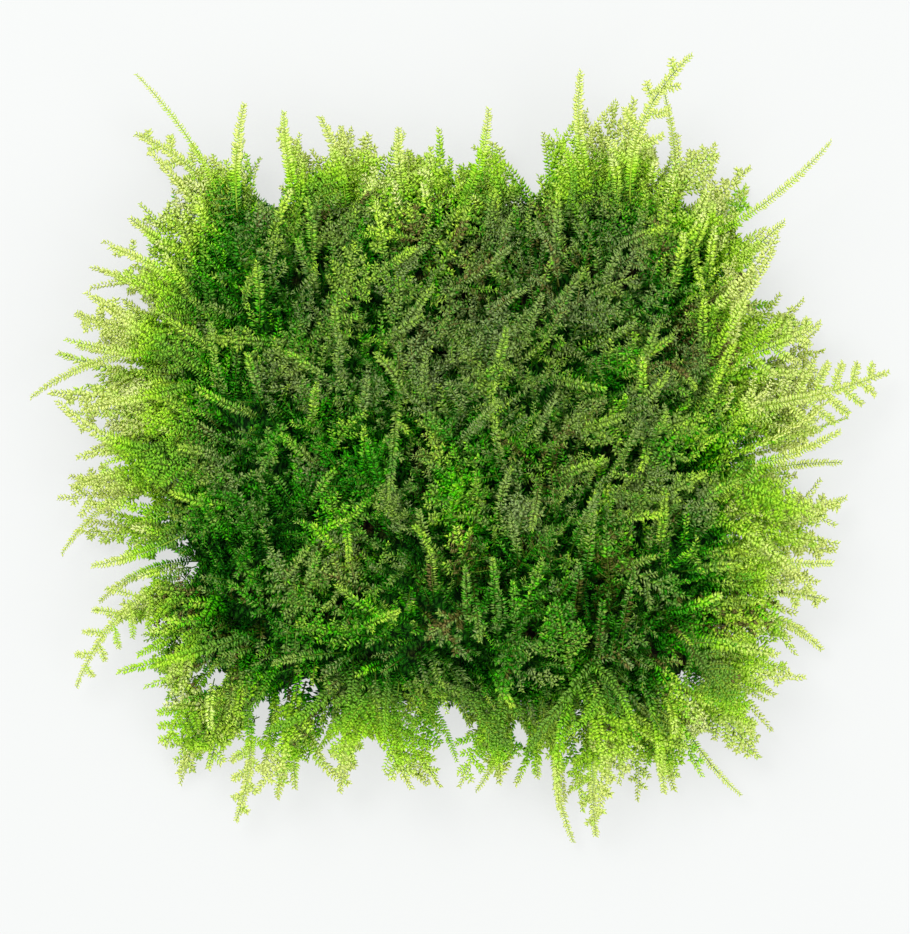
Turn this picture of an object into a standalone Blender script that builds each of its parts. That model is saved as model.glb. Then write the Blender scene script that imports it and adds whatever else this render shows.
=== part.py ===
"""A clump of feathery water moss, lying flat on its cut underside.

The clump is a square-cornered cushion of moss plants woven together, about 80 mm across, with
long shoots that stand clear of it all round the rim. +X is right, +Y is the back, +Z is up.
The origin is in the middle of the flat underside. Everything is in metres.
"""

import math
import random
from typing import NamedTuple

import bmesh
import bpy
from mathutils import Matrix, Vector
from mathutils.bvhtree import BVHTree

MM = 0.001
FAR_OUT = 200 * MM

# The woven mat: a soft-edged square cushion, widest a little above the surface it lies on.
MAT_HALF_WIDTH = 35.5 * MM
MAT_HALF_DEPTH = 32.5 * MM
MAT_WAIST = 4.0 * MM
MAT_CROWN = 12.0 * MM
MAT_SQUARENESS = 0.42
MAT_SHOULDER = 0.6
CUSHION_SEGMENTS = (64, 32)

# Mounds where one plant has grown over its neighbours: middle x and y, radius, height (mm).
MOUNDS = (
    (-24, 23, 14, 12.5),
    (-6, 23, 14, 13.5),
    (10, 20, 13, 15.0),
    (24, 22, 14, 13.0),
    (-27, 5, 14, 13.0),
    (-12, 7, 14, 15.5),
    (5, 4, 14, 16.5),
    (22, 8, 13, 15.0),
    (28, 2, 12, 12.0),
    (-24, -11, 14, 13.5),
    (-6, -8, 13, 15.0),
    (13, -10, 14, 16.0),
    (26, -13, 13, 13.5),
    (-25, -24, 14, 11.0),
    (-10, -21, 13, 12.5),
    (10, -22, 14, 13.5),
    (24, -24, 14, 12.0),
)
MOUND_SEGMENTS = (20, 12)

# Short tufts that are fused on the mat: those on top stand up, those on the rim lean out.
TOP_TUFT_PITCH = 4.9 * MM
TOP_TUFT_STRAY = 1.3 * MM
RIM_TUFTS = 108
TOP_TUFT_LENGTH = (4.4 * MM, 7.0 * MM)
RIM_TUFT_LENGTH = (5.5 * MM, 9.0 * MM)
TUFT_FOOT_RADIUS = 2.1 * MM
TUFT_TIP_RADIUS = 0.5 * MM
TUFT_SIDES = 6
TUFT_SUNK = 1.5 * MM
RIM_TUFT_HEIGHTS = (2.6 * MM, 5.8 * MM, 9.0 * MM)
RIM_TUFT_SQUARENESS = 0.7
TUFT_CLEARANCE = 2.4 * MM
SEED = 7

# What a tuft's direction is mixed from: the mat's own slope there, straight up or outwards,
# and chance. The lean of a tuft on top grows from the middle to the rim.
TOP_SLOPE = 0.5
TOP_UPRIGHT = 0.6
TOP_LEAN = 1.1
RIM_OUTWARD = 0.7
RIM_STRAY_UP = (-0.2, 0.8)
TUFT_SPREAD = 0.35

# How finely the mat is fused and the share of its faces that it keeps.
MAT_VOXEL = 0.7 * MM
MAT_FACES_KEPT = 0.0395

# Long shoots: the tube that a leafy stem fills, thin where it leaves the mat.
SHOOT_RADIUS = 0.85 * MM
STEM_RADIUS = 0.4 * MM
TIP_RADIUS = 0.45 * MM
LEAFY_FROM = 0.25
CLEARANCE = 0.3 * MM
SHOOT_POINTS = 7
PATH_SAMPLES = 160

# Where along a tuft, a path or a branch's edge it is tested against its neighbours.
TESTED_SHARES = (0.0, 0.25, 0.5, 0.75, 1.0)
TESTED_STRIDE = 6

# Fronds: a flat comb of side branches on both sides of the stem. A branch starts this share of
# the stem's half width off its middle. A frond bends in this many steps, which snap to a corner
# that is near.
FROND_THICKNESS = 0.9 * MM
FROND_STEPS = 4
FROND_SNAP = 0.1 * MM
FLAT_ANGLE = math.radians(1)
BRANCH_ANGLE = math.radians(52)
BRANCH_FOOT_RADIUS = 0.6 * MM
BRANCH_TIP_RADIUS = 0.35 * MM
BRANCH_FIRST = 0.26
BRANCH_LAST = 0.86
BRANCH_START = 0.8
BRANCH_SHORTENING = 1.2


class Shoot(NamedTuple):
    """One long shoot: where it roots and ends, how it bows, and its side branches, in mm."""

    name: str
    foot: tuple
    tip: tuple
    bow: float = 0.0
    rise: float = 1.0
    branches: int = 0
    branch_length: float = 0.0


# bow is how far the middle swings to the left of the way from foot to tip, and rise how far
# it arches up. A shoot with branches is a frond: its side branches alternate along the stem.
LONG_SHOOTS = (
    Shoot("back_shoot_1", (-31, 33, 10), (-42.5, 50, 15), -1.0, 1.0),
    Shoot("back_frond_1", (-30, 31, 5), (-43, 42.5, 5), -1.5, 2.0, 6, 4.0),
    Shoot("back_shoot_2", (-29, 31, 12), (-28, 46, 16), 0.6, 1.0),
    Shoot("back_shoot_3", (-20.5, 31, 11), (-22.8, 45, 14), 0.5, 1.0),
    Shoot("back_shoot_4", (-14.5, 31, 10), (-18, 44.5, 11), -0.8, 1.5),
    Shoot("back_shoot_5", (-6, 32, 10), (-7.5, 43, 12), 0.6, 1.0),
    Shoot("back_shoot_6", (0, 31, 11), (4.5, 45.5, 13), -1.0, 1.0),
    Shoot("back_shoot_7", (19, 32, 9), (16.8, 50.5, 13), 1.2, 1.0),
    Shoot("back_frond_2", (23.5, 32, 11), (31.5, 52.5, 16), 2.8, 1.5, 7, 5.0),
    Shoot("back_shoot_8", (29.5, 32, 8), (28, 48.5, 7), -0.6, 2.0),
    Shoot("right_shoot_1", (33, 28, 10), (50, 41, 17), -1.2, -0.5),
    Shoot("right_shoot_2", (34, 20, 9), (44, 30.5, 13), 0.4, 0.5),
    Shoot("right_frond_1", (33, 12, 9), (49, 17, 9), -1.2, 1.5, 7, 5.5),
    Shoot("right_frond_2", (33, 5, 7), (58.5, 10.5, 4), -1.0, 3.5, 11, 7.0),
    Shoot("right_frond_7", (33, 2, 4), (49, 4, 2.4), 0.8, 2.0, 7, 5.5),
    Shoot("right_shoot_3", (34, -3, 8), (51.5, 2.5, 12), -1.0, 1.0),
    Shoot("right_shoot_4", (35, -4.5, 5), (52, -1.7, 6), 0.8, 1.5),
    Shoot("right_frond_3", (35, -8.5, 4.5), (52.7, -6.5, 3.5), -1.0, 2.5, 6, 3.4),
    Shoot("right_shoot_5", (34, -13.5, 8), (50.5, -15.2, 10), -0.6, 1.0),
    Shoot("right_frond_4", (34, -19, 7), (50, -20.2, 5), 0.8, 2.0, 6, 3.6),
    Shoot("right_shoot_6", (34, -22.5, 4.5), (49.5, -27, 2.2), 2.4, 2.0),
    Shoot("right_frond_5", (33, -25, 8), (44.5, -30, 9), 0.4, 1.0, 5, 3.2),
    Shoot("right_shoot_7", (32, -28.5, 6), (43, -33, 5), 0.6, 1.0),
    Shoot("right_frond_6", (31, -31, 8), (40, -38, 8), 0.8, 1.0, 5, 3.4),
    Shoot("front_shoot_1", (28, -31, 6), (38.6, -46.6, 3), -1.2, 2.0),
    Shoot("front_shoot_2", (25, -32, 8), (28, -46, 9), 0.6, 1.0),
    Shoot("front_frond_1", (19.5, -31, 8), (19, -52, 4), -0.8, 3.0, 8, 3.8),
    Shoot("front_shoot_3", (14.5, -31, 5), (16, -53, 2), -1.8, 2.0),
    Shoot("front_shoot_4", (9.5, -31, 8), (11, -44, 7), 0.6, 1.0),
    Shoot("front_shoot_5", (4.2, -30, 8), (2.8, -46, 4), 2.6, 2.0),
    Shoot("front_shoot_6", (-7, -29, 6), (0.3, -42, 5), 0.8, 1.0),
    Shoot("front_shoot_7", (-7.5, -31, 9), (-7.4, -43, 9), -0.4, 1.0),
    Shoot("front_frond_2", (-14.5, -30, 8), (-15.5, -46, 5), 0.4, 2.0, 7, 3.8),
    Shoot("front_shoot_8", (-20, -31, 8), (-21.5, -45.5, 6), -0.6, 1.0),
    Shoot("front_shoot_9", (-25, -30, 5), (-26, -43, 4), 1.2, 1.0),
    Shoot("front_frond_3", (-29.5, -29, 8), (-29.5, -50, 4), 2.0, 2.5, 7, 3.8),
    Shoot("front_frond_4", (-31, -27, 6), (-39, -40, 5), -0.6, 2.0, 6, 4.2),
    Shoot("left_frond_1", (-33, -15, 7), (-51, -32, 4), -3.0, 3.0, 9, 5.5),
    Shoot("left_shoot_1", (-33, -21, 9), (-42.5, -27.5, 10), 0.4, 0.5),
    Shoot("left_shoot_2", (-34, -15, 4.5), (-48, -20.5, 2.5), -1.6, 1.5),
    Shoot("left_shoot_3", (-34, -10, 9), (-48.5, -15.5, 12), 0.8, 1.0),
    Shoot("left_shoot_4", (-33, -3, 5), (-53, -14, 4), -3.0, 2.0),
    Shoot("left_frond_2", (-34, -1, 8), (-51.5, -5, 8), -0.6, 2.0, 6, 3.2),
    Shoot("left_frond_3", (-34, 11, 5.5), (-50.5, 2.5, 3), -3.0, 2.5, 7, 3.8),
    Shoot("left_shoot_5", (-34, 13, 9), (-57, 7, 7), -2.4, 2.0),
    Shoot("left_shoot_8", (-34, 13.5, 5), (-51, 14, 3), 0.6, 1.5),
    Shoot("left_frond_4", (-33, 16, 6), (-51, 18.5, 5), 1.4, 2.5, 7, 4.0),
    Shoot("left_shoot_6", (-34, 20, 10), (-46, 27, 14), -0.8, 1.0),
    Shoot("left_shoot_7", (-33, 25, 8), (-43.5, 31, 9), 0.6, 1.0),
)


def clear_scene():
    for obj in list(bpy.data.objects):
        bpy.data.objects.remove(obj, do_unlink=True)


def new_collection(name):
    collection = bpy.data.collections.new(name)
    bpy.context.scene.collection.children.link(collection)
    return collection


def new_material(name, colour, roughness):
    material = bpy.data.materials.new(name)
    material.use_nodes = True
    shader = material.node_tree.nodes["Principled BSDF"]
    shader.inputs["Base Color"].default_value = (*colour, 1.0)
    shader.inputs["Roughness"].default_value = roughness
    shader.inputs["Metallic"].default_value = 0.0
    return material


def new_object(name, data, collection, material=None):
    obj = bpy.data.objects.new(name, data)
    collection.objects.link(obj)
    if material:
        data.materials.append(material)
    return obj


def signed_power(value, power):
    return math.copysign(abs(value) ** power, value)


def square_ring(bearing, share, squareness):
    """A point of a ring round the middle, this share of the mat's size, between a circle
    (squareness 1) and a square (0)."""
    x = MAT_HALF_WIDTH * share * signed_power(math.cos(bearing), squareness)
    y = MAT_HALF_DEPTH * share * signed_power(math.sin(bearing), squareness)
    return x, y


def add_cushion(bm):
    """The mat's body, a superellipsoid: a sphere whose sines and cosines are raised to a
    power, which squares its plan (MAT_SQUARENESS) and its shoulder (MAT_SHOULDER)."""
    round_it, up_it = CUSHION_SEGMENTS
    ball = bmesh.ops.create_uvsphere(bm, u_segments=round_it, v_segments=up_it, radius=1.0)
    for vertex in ball["verts"]:
        height = math.asin(max(-1.0, min(1.0, vertex.co.z)))
        bearing = math.atan2(vertex.co.y, vertex.co.x)
        share = signed_power(math.cos(height), MAT_SHOULDER)
        x, y = square_ring(bearing, share, MAT_SQUARENESS)
        rise = signed_power(math.sin(height), MAT_SHOULDER)
        vertex.co = Vector((x, y, MAT_WAIST + (MAT_CROWN - MAT_WAIST) * rise))


def add_mounds(bm):
    """Squashed balls that stand half out of the cushion."""
    round_it, up_it = MOUND_SEGMENTS
    for x, y, radius, height in MOUNDS:
        foot = Matrix.Translation((x * MM, y * MM, MAT_WAIST))
        squash = Matrix.Diagonal((radius * MM, radius * MM, height * MM - MAT_WAIST, 1.0))
        bmesh.ops.create_uvsphere(
            bm, u_segments=round_it, v_segments=up_it, radius=1.0, matrix=foot @ squash
        )


def add_tuft(bm, foot, direction, length):
    """One blunt cone, sunk a little into the mat."""
    middle = foot + direction * ((length - TUFT_SUNK) / 2)
    turn = direction.to_track_quat("Z", "Y").to_matrix().to_4x4()
    bmesh.ops.create_cone(
        bm,
        cap_ends=True,
        segments=TUFT_SIDES,
        radius1=TUFT_FOOT_RADIUS,
        radius2=TUFT_TIP_RADIUS,
        depth=length + TUFT_SUNK,
        matrix=Matrix.Translation(middle) @ turn,
    )


def path_of(shoot):
    """Points along a shoot: a curve of the second degree from its foot to its tip. The point
    that pulls it stands off twice the bow and the rise, because the curve goes half way there."""
    foot, tip = Vector(shoot.foot) * MM, Vector(shoot.tip) * MM
    along = tip - foot
    left = Vector((-along.y, along.x, 0.0)).normalized()
    pull = (foot + tip) / 2 + left * (2 * shoot.bow * MM) + Vector((0, 0, 2 * shoot.rise * MM))
    steps = [i / (PATH_SAMPLES - 1) for i in range(PATH_SAMPLES)]
    return [foot * (1 - t) ** 2 + pull * (2 * t * (1 - t)) + tip * t**2 for t in steps]


def near_a_shoot(foot, tip, paths):
    """Whether a tuft would touch a long shoot."""
    points = [foot.lerp(tip, share) for share in TESTED_SHARES]
    near = (q for path in paths for q in path[::TESTED_STRIDE])
    return any((p - q).length < TUFT_CLEARANCE for q in near for p in points)


def staggered_rows(chance):
    """Points over the mat's plan in staggered rows, each strayed a little."""
    row_pitch = TOP_TUFT_PITCH * math.sqrt(3) / 2
    rows = round(MAT_HALF_DEPTH / row_pitch) + 1
    columns = round(MAT_HALF_WIDTH / TOP_TUFT_PITCH) + 1
    for row in range(-rows, rows + 1):
        for column in range(-columns, columns + 1):
            x = (column + 0.5 * (row % 2)) * TOP_TUFT_PITCH
            stray = [chance.uniform(-1, 1) * TOP_TUFT_STRAY for _ in "xy"]
            yield x + stray[0], row * row_pitch + stray[1]


def add_top_tufts(bm, surface, paths, chance):
    """Tufts all over the top, which lean outwards the more the nearer they are to the rim."""
    for x, y in staggered_rows(chance):
        foot, normal, _, _ = surface.ray_cast(Vector((x, y, FAR_OUT)), Vector((0, 0, -1)))
        if foot is None:
            continue
        outward = Vector((x / MAT_HALF_WIDTH, y / MAT_HALF_DEPTH, 0.0))
        stray = Vector((chance.uniform(-1, 1), chance.uniform(-1, 1), 0.0)) * TUFT_SPREAD
        lean = outward * outward.length * TOP_LEAN + stray
        direction = (normal * TOP_SLOPE + Vector((0, 0, TOP_UPRIGHT)) + lean).normalized()
        length = chance.uniform(*TOP_TUFT_LENGTH)
        if not near_a_shoot(foot, foot + direction * length, paths):
            add_tuft(bm, foot, direction, length)


def add_rim_tufts(bm, surface, paths, chance):
    """Longer tufts round the rim, at three heights in turn, which lean outwards."""
    for i in range(RIM_TUFTS):
        x, y = square_ring(math.tau * i / RIM_TUFTS, 1.0, RIM_TUFT_SQUARENESS)
        outward = Vector((x, y, 0.0)).normalized()
        height = RIM_TUFT_HEIGHTS[i % len(RIM_TUFT_HEIGHTS)]
        start = outward * FAR_OUT + Vector((0, 0, height))
        foot, normal, _, _ = surface.ray_cast(start, -outward)
        if foot is None:
            continue
        stray = Vector((chance.uniform(-1, 1), chance.uniform(-1, 1), chance.uniform(*RIM_STRAY_UP)))
        direction = (outward * RIM_OUTWARD + normal + stray * TUFT_SPREAD).normalized()
        direction.z = max(direction.z, 0.0)
        length = chance.uniform(*RIM_TUFT_LENGTH)
        if not near_a_shoot(foot, foot + direction * length, paths):
            add_tuft(bm, foot, direction, length)


def add_ground_cutter(collection):
    """A block under the clump, whose top is the flat underside's plane."""
    bpy.ops.mesh.primitive_cube_add(size=FAR_OUT, location=(0, 0, -FAR_OUT / 2))
    cutter = bpy.context.object
    cutter.name = "ground_cutter"
    for home in list(cutter.users_collection):
        home.objects.unlink(cutter)
    collection.objects.link(cutter)
    cutter.hide_render = True
    cutter.display_type = "WIRE"
    return cutter


def make_mat(collection, cutters, material, paths):
    """The woven mat: cushion, mounds and tufts fused to one skin, then cut off flat below."""
    chance = random.Random(SEED)
    bm = bmesh.new()
    add_cushion(bm)
    add_mounds(bm)
    surface = BVHTree.FromBMesh(bm)
    add_top_tufts(bm, surface, paths, chance)
    add_rim_tufts(bm, surface, paths, chance)
    mesh = bpy.data.meshes.new("moss_mat")
    bm.to_mesh(mesh)
    bm.free()
    mat = new_object("moss_mat", mesh, collection, material)
    fuse(mat, MAT_VOXEL, MAT_FACES_KEPT)
    cut = mat.modifiers.new("flat underside", "BOOLEAN")
    cut.operation = "DIFFERENCE"
    cut.solver = "EXACT"
    cut.object = add_ground_cutter(cutters)
    return mat


def fuse(obj, voxel, kept):
    """Joins an object's overlapping shapes into one closed skin and thins its faces."""
    skin = obj.modifiers.new("fuse", "REMESH")
    skin.mode = "VOXEL"
    skin.voxel_size = voxel
    skin.use_smooth_shade = True
    thin = obj.modifiers.new("thin", "DECIMATE")
    thin.ratio = kept


def tree_of(obj):
    bpy.context.view_layer.update()
    graph = bpy.context.evaluated_depsgraph_get()
    return BVHTree.FromObject(obj, graph)


def stretch_outside(path, tree):
    """The part of a shoot's path beyond where it leaves the mat."""
    room = STEM_RADIUS + CLEARANCE
    inside = [i for i, p in enumerate(path) if tree.find_nearest(p)[3] < room]
    return path[max(inside, default=-1) + 1 :]


def leafy_radius(share):
    """Half a shoot's width, this share of the way along it: a thin stem at first, then the
    full leafy width, then a narrower tip."""
    if share < LEAFY_FROM:
        return STEM_RADIUS + (SHOOT_RADIUS - STEM_RADIUS) * share / LEAFY_FROM
    taper = ((share - LEAFY_FROM) / (1 - LEAFY_FROM)) ** 3
    return SHOOT_RADIUS + (TIP_RADIUS - SHOOT_RADIUS) * taper


def make_shoot(shoot, path, collection, material):
    """A plain shoot: one tapered tube."""
    curve = bpy.data.curves.new(shoot.name, "CURVE")
    curve.dimensions = "3D"
    curve.bevel_depth = 1.0
    curve.bevel_resolution = 1
    curve.use_fill_caps = True
    spline = curve.splines.new("POLY")
    spline.points.add(SHOOT_POINTS - 1)
    for i, spot in enumerate(spline.points):
        share = i / (SHOOT_POINTS - 1)
        spot.co = (*path[round(share * (len(path) - 1))], 1.0)
        spot.radius = leafy_radius(share)
    return new_object(shoot.name, curve, collection, material)


def branch_outline(foot, length, side):
    """The four corners of one side branch, in the frond's own plane (along, across)."""
    direction = Vector((math.cos(BRANCH_ANGLE), side * math.sin(BRANCH_ANGLE)))
    back = Vector((-math.sin(BRANCH_ANGLE), side * math.cos(BRANCH_ANGLE)))
    tip = foot + direction * length
    return [
        foot + back * BRANCH_FOOT_RADIUS,
        tip + back * BRANCH_TIP_RADIUS,
        tip - back * BRANCH_TIP_RADIUS,
        foot - back * BRANCH_FOOT_RADIUS,
    ]


def frond_side(shoot, length, side, touches):
    """One edge of a frond from its foot to its tip: the stem's edge, out and back along each
    side branch on this side. Left and right branches take turns, and shorten to the tip."""
    edge = [Vector((0.0, side * STEM_RADIUS))]
    for i in range(shoot.branches):
        if side != (-1) ** i:
            continue
        share = BRANCH_FIRST + (BRANCH_LAST - BRANCH_FIRST) * i / (shoot.branches - 1)
        reach = shoot.branch_length * MM * (BRANCH_SHORTENING - share)
        foot = Vector((share * length, side * leafy_radius(share) * BRANCH_START))
        corners = branch_outline(foot, reach, side)
        if not touches(corners):
            edge += corners
    return edge + [Vector((length, side * TIP_RADIUS))]


def make_frond(shoot, path, tree, collection, material):
    """A frond: its flat outline, given a thickness, cut across and then laid along its path."""
    length = sum((b - a).length for a, b in zip(path, path[1:]))

    def on_path(along, across, up):
        """Where a point of the flat frond comes to lie."""
        at = min(max(round(along / length * (len(path) - 1)), 1), len(path) - 2)
        ahead = (path[at + 1] - path[at - 1]).normalized()
        left = Vector((-ahead.y, ahead.x, 0.0)).normalized()
        spare = along - at * length / (len(path) - 1)
        return path[at] + ahead * spare + left * across + ahead.cross(left) * up

    def touches(corners):
        """Whether a side branch would touch the mat."""
        room = FROND_THICKNESS / 2 + CLEARANCE
        sides = zip(corners, corners[1:] + corners[:1])
        spots = [a.lerp(b, share) for a, b in sides for share in TESTED_SHARES]
        return any(tree.find_nearest(on_path(*spot, 0.0))[3] < room for spot in spots)

    left_edge = frond_side(shoot, length, 1, touches)
    right_edge = frond_side(shoot, length, -1, touches)
    outline = left_edge + right_edge[::-1]
    curve = bpy.data.curves.new(shoot.name, "CURVE")
    curve.dimensions = "2D"
    curve.fill_mode = "BOTH"
    curve.extrude = FROND_THICKNESS / 2
    spline = curve.splines.new("POLY")
    spline.points.add(len(outline) - 1)
    for spot, corner in zip(spline.points, outline):
        spot.co = (*corner, 0.0, 1.0)
    spline.use_cyclic_u = True
    frond = as_mesh(new_object(shoot.name, curve, collection, material))
    cut_across(frond.data, length)
    for vertex in frond.data.vertices:
        vertex.co = on_path(*vertex.co)
    return frond


def cut_across(mesh, length):
    """Cuts a flat frond across its stem in even steps, so that no face reaches round a bend."""
    bm = bmesh.new()
    bm.from_mesh(mesh)
    bmesh.ops.dissolve_limit(bm, angle_limit=FLAT_ANGLE, verts=bm.verts, edges=bm.edges)
    for step in range(1, FROND_STEPS):
        spot = (length * step / FROND_STEPS, 0.0, 0.0)
        everything = bm.verts[:] + bm.edges[:] + bm.faces[:]
        bmesh.ops.bisect_plane(
            bm, geom=everything, dist=FROND_SNAP, plane_co=spot, plane_no=(1.0, 0.0, 0.0)
        )
    bm.to_mesh(mesh)
    bm.free()


def as_mesh(obj):
    """The curve object as a mesh object of the same name, its caps welded to its sides."""
    bpy.context.view_layer.update()
    graph = bpy.context.evaluated_depsgraph_get()
    mesh = bpy.data.meshes.new_from_object(obj.evaluated_get(graph))
    name, collection, curve = obj.name, obj.users_collection[0], obj.data
    bpy.data.objects.remove(obj)
    bpy.data.curves.remove(curve)
    bm = bmesh.new()
    bm.from_mesh(mesh)
    bmesh.ops.remove_doubles(bm, verts=bm.verts, dist=0.001 * MM)
    bmesh.ops.recalc_face_normals(bm, faces=bm.faces)
    bm.to_mesh(mesh)
    bm.free()
    mesh.name = name
    made = bpy.data.objects.new(name, mesh)
    collection.objects.link(made)
    return made


def main():
    clear_scene()
    clump = new_collection("moss clump")
    cutters = new_collection("cutters")
    cutters.hide_render = True
    dark_green = new_material("mat green", (0.045, 0.11, 0.012), 0.6)
    fresh_green = new_material("shoot green", (0.28, 0.48, 0.04), 0.5)
    paths = [path_of(shoot) for shoot in LONG_SHOOTS]
    mat = make_mat(clump, cutters, dark_green, paths)
    tree = tree_of(mat)
    for shoot, path in zip(LONG_SHOOTS, paths):
        free = stretch_outside(path, tree)
        if shoot.branches:
            make_frond(shoot, free, tree, clump, fresh_green)
        else:
            make_shoot(shoot, free, clump, fresh_green)


main()
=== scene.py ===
# %% [markdown]
# # A clump of feathery water moss
#
# The real clump is a pad of hundreds of thin stems, each with two flat rows of tiny pointed leaves,
# so that a shoot looks like a small feather. The pad's middle is deep green and dark between the
# shoots, and its rim is young, yellow-green and lets light through. The plan is a dark woven core,
# feathery shoots all over it, a fringe round its side, and then each long shoot and frond in its
# own place. Everything is a real mesh, because a leaf that can be seen has an outline of its own.

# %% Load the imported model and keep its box
import math

import bpy
import numpy as np
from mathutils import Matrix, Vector


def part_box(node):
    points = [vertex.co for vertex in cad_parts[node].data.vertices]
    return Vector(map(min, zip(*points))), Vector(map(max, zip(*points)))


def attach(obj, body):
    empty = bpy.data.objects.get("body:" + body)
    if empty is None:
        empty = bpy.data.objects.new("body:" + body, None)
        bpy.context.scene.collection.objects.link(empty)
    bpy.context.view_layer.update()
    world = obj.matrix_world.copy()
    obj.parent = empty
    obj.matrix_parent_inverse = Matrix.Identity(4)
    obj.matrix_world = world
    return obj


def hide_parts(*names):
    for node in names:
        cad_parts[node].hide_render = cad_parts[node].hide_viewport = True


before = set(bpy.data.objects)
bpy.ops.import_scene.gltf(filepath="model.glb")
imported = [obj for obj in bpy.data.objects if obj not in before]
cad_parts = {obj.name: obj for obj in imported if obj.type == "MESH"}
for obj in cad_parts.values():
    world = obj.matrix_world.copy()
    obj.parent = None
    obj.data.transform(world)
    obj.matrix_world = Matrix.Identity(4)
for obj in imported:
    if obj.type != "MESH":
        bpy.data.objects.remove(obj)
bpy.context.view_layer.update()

MM = 0.001

# %% [markdown]
# ## Small tools for whole arrays
#
# Thousands of shoots are worked out at once, so each vector below is a row of a numpy array. A
# shoot follows a quadratic curve: it leaves its foot towards a pull point, and bends to its tip.
# Lengths are in millimetres until a piece's mesh is made.

# %% Vectors, curves and blotches
UP = np.array([0.0, 0.0, 1.0])
WAVES = 6


def unit(vectors):
    """Each vector divided by its own length."""
    return vectors / np.maximum(np.linalg.norm(vectors, axis=-1, keepdims=True), 1e-9)


def level(heading):
    """The level unit vector (cos, sin, 0) of each heading."""
    return np.stack([np.cos(heading), np.sin(heading), np.zeros(len(heading))], -1)


def smooth(low, high, value):
    """0 below low, 1 above high, and the S curve 3t^2 - 2t^3 between them."""
    t = np.clip((value - low) / (high - low), 0.0, 1.0)
    return t * t * (3 - 2 * t)


def curve_point(foot, pull, tip, share):
    """foot (1-t)^2 + pull 2t(1-t) + tip t^2, for t = share."""
    t = share[..., None]
    return foot * (1 - t) ** 2 + pull * 2 * t * (1 - t) + tip * t**2


def curve_ahead(foot, pull, tip, share):
    """The curve's direction: (pull - foot)(1-t) + (tip - pull)t, made a unit vector."""
    t = share[..., None]
    return unit((pull - foot) * (1 - t) + (tip - pull) * t)


def patches(x, y, size, seed):
    """Soft blotches about size mm across, from -1 to 1: twice the mean of six plane waves."""
    waves = np.random.default_rng(seed)
    turn = waves.uniform(0, math.tau, WAVES)
    phase = waves.uniform(0, math.tau, WAVES)
    pitch = math.pi / (size * waves.uniform(0.7, 1.5, WAVES))
    along = x[..., None] * np.cos(turn) + y[..., None] * np.sin(turn)
    return np.clip(np.sin(along * pitch + phase).mean(-1) * 2, -1, 1)


def blots(x, y, table):
    """The sum over a table of middles, radii and strengths of strength exp(-(d / radius)^2)."""
    off = (x[..., None] - table[:, 0]) ** 2 + (y[..., None] - table[:, 1]) ** 2
    return (table[:, 3] * np.exp(-off / table[:, 2] ** 2)).sum(-1)


# %% [markdown]
# ## The pad's shape
#
# The pad is a soft square cushion with mounds where one plant has grown over its neighbours. These
# numbers repeat the model's own, so that every shoot roots where the solid has its surface.

# %% The height of the mat under any point
MAT_HALF = np.array([35.5, 32.5])
MAT_WAIST, MAT_CROWN = 4.0, 12.0
MAT_SQUARENESS, MAT_SHOULDER = 0.42, 0.6
MAT_POWER = 2 / MAT_SQUARENESS
MOUNDS = np.array([  # middle x and y, radius, height
    (-24, 23, 14, 12.5), (-6, 23, 14, 13.5), (10, 20, 13, 15), (24, 22, 14, 13), (-27, 5, 14, 13),
    (-12, 7, 14, 15.5), (5, 4, 14, 16.5), (22, 8, 13, 15), (28, 2, 12, 12), (-24, -11, 14, 13.5),
    (-6, -8, 13, 15), (13, -10, 14, 16), (26, -13, 13, 13.5), (-25, -24, 14, 11),
    (-10, -21, 13, 12.5), (10, -22, 14, 13.5), (24, -24, 14, 12),
])


def ring_share(x, y):
    """How far out a point is: 0 in the middle, 1 on the cushion's edge. It is the superellipse
    (|x/a|^p + |y/b|^p)^(1/p) with p = 2 / squareness."""
    a, b = np.abs(x) / MAT_HALF[0], np.abs(y) / MAT_HALF[1]
    return (a**MAT_POWER + b**MAT_POWER) ** (1 / MAT_POWER)


def mat_top(x, y):
    """The mat's height: the highest of the cushion, whose shoulder is a superellipse, and the
    mounds, which are squashed balls. It is 0 beyond all of them."""
    ring = ring_share(x, y)
    cosine = np.clip(ring, 0, 1) ** (1 / MAT_SHOULDER)
    rise = np.sqrt(1 - cosine**2) ** MAT_SHOULDER
    cushion = np.where(ring < 1, MAT_WAIST + (MAT_CROWN - MAT_WAIST) * rise, 0.0)
    off = (x[..., None] - MOUNDS[:, 0]) ** 2 + (y[..., None] - MOUNDS[:, 1]) ** 2
    bulge = 1 - off / MOUNDS[:, 2] ** 2
    balls = MAT_WAIST + (MOUNDS[:, 3] - MAT_WAIST) * np.sqrt(np.maximum(bulge, 0))
    return np.maximum(cushion, np.where(bulge > 0, balls, 0.0).max(-1))


print("mat height in the middle, mm:", mat_top(np.zeros(1), np.zeros(1)).round(1))

# %% [markdown]
# ## The leaf print
#
# A leaf is about a millimetre long, and there are nearly two hundred thousand of them. Giving each
# its own picture would waste space, so the UV map is a board of 32 x 32 small fields, and a leaf
# lies in one of them. The field's column says how young the leaf is, from deep green to lime, with
# the last few for stems and withered leaves. The row says how much light reaches it. Inside the
# field, u runs across the leaf and v from base to tip, so that the rib can be drawn.

# %% Fields of the leaf print
FIELDS = 32
YOUNGEST_COLUMN = 27
STEM_COLUMNS = (28, 31)  # from green to brown
BRIGHTEST_ROW = FIELDS - 1
FIELD_MARGIN = 0.12


def field_uv(column, row, across, along):
    """UV of points inside a field: (field + margin + place (1 - 2 margin)) / fields."""
    inner = 1 - 2 * FIELD_MARGIN
    u = (column + FIELD_MARGIN + across * inner) / FIELDS
    v = (row + FIELD_MARGIN + along * inner) / FIELDS
    return np.stack([u, v], -1)


def field_number(value, last):
    """The column for a youth, or the row for a light, from 0 to the last for 0 to 1."""
    return np.clip(np.round(value * last), 0, last)


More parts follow.
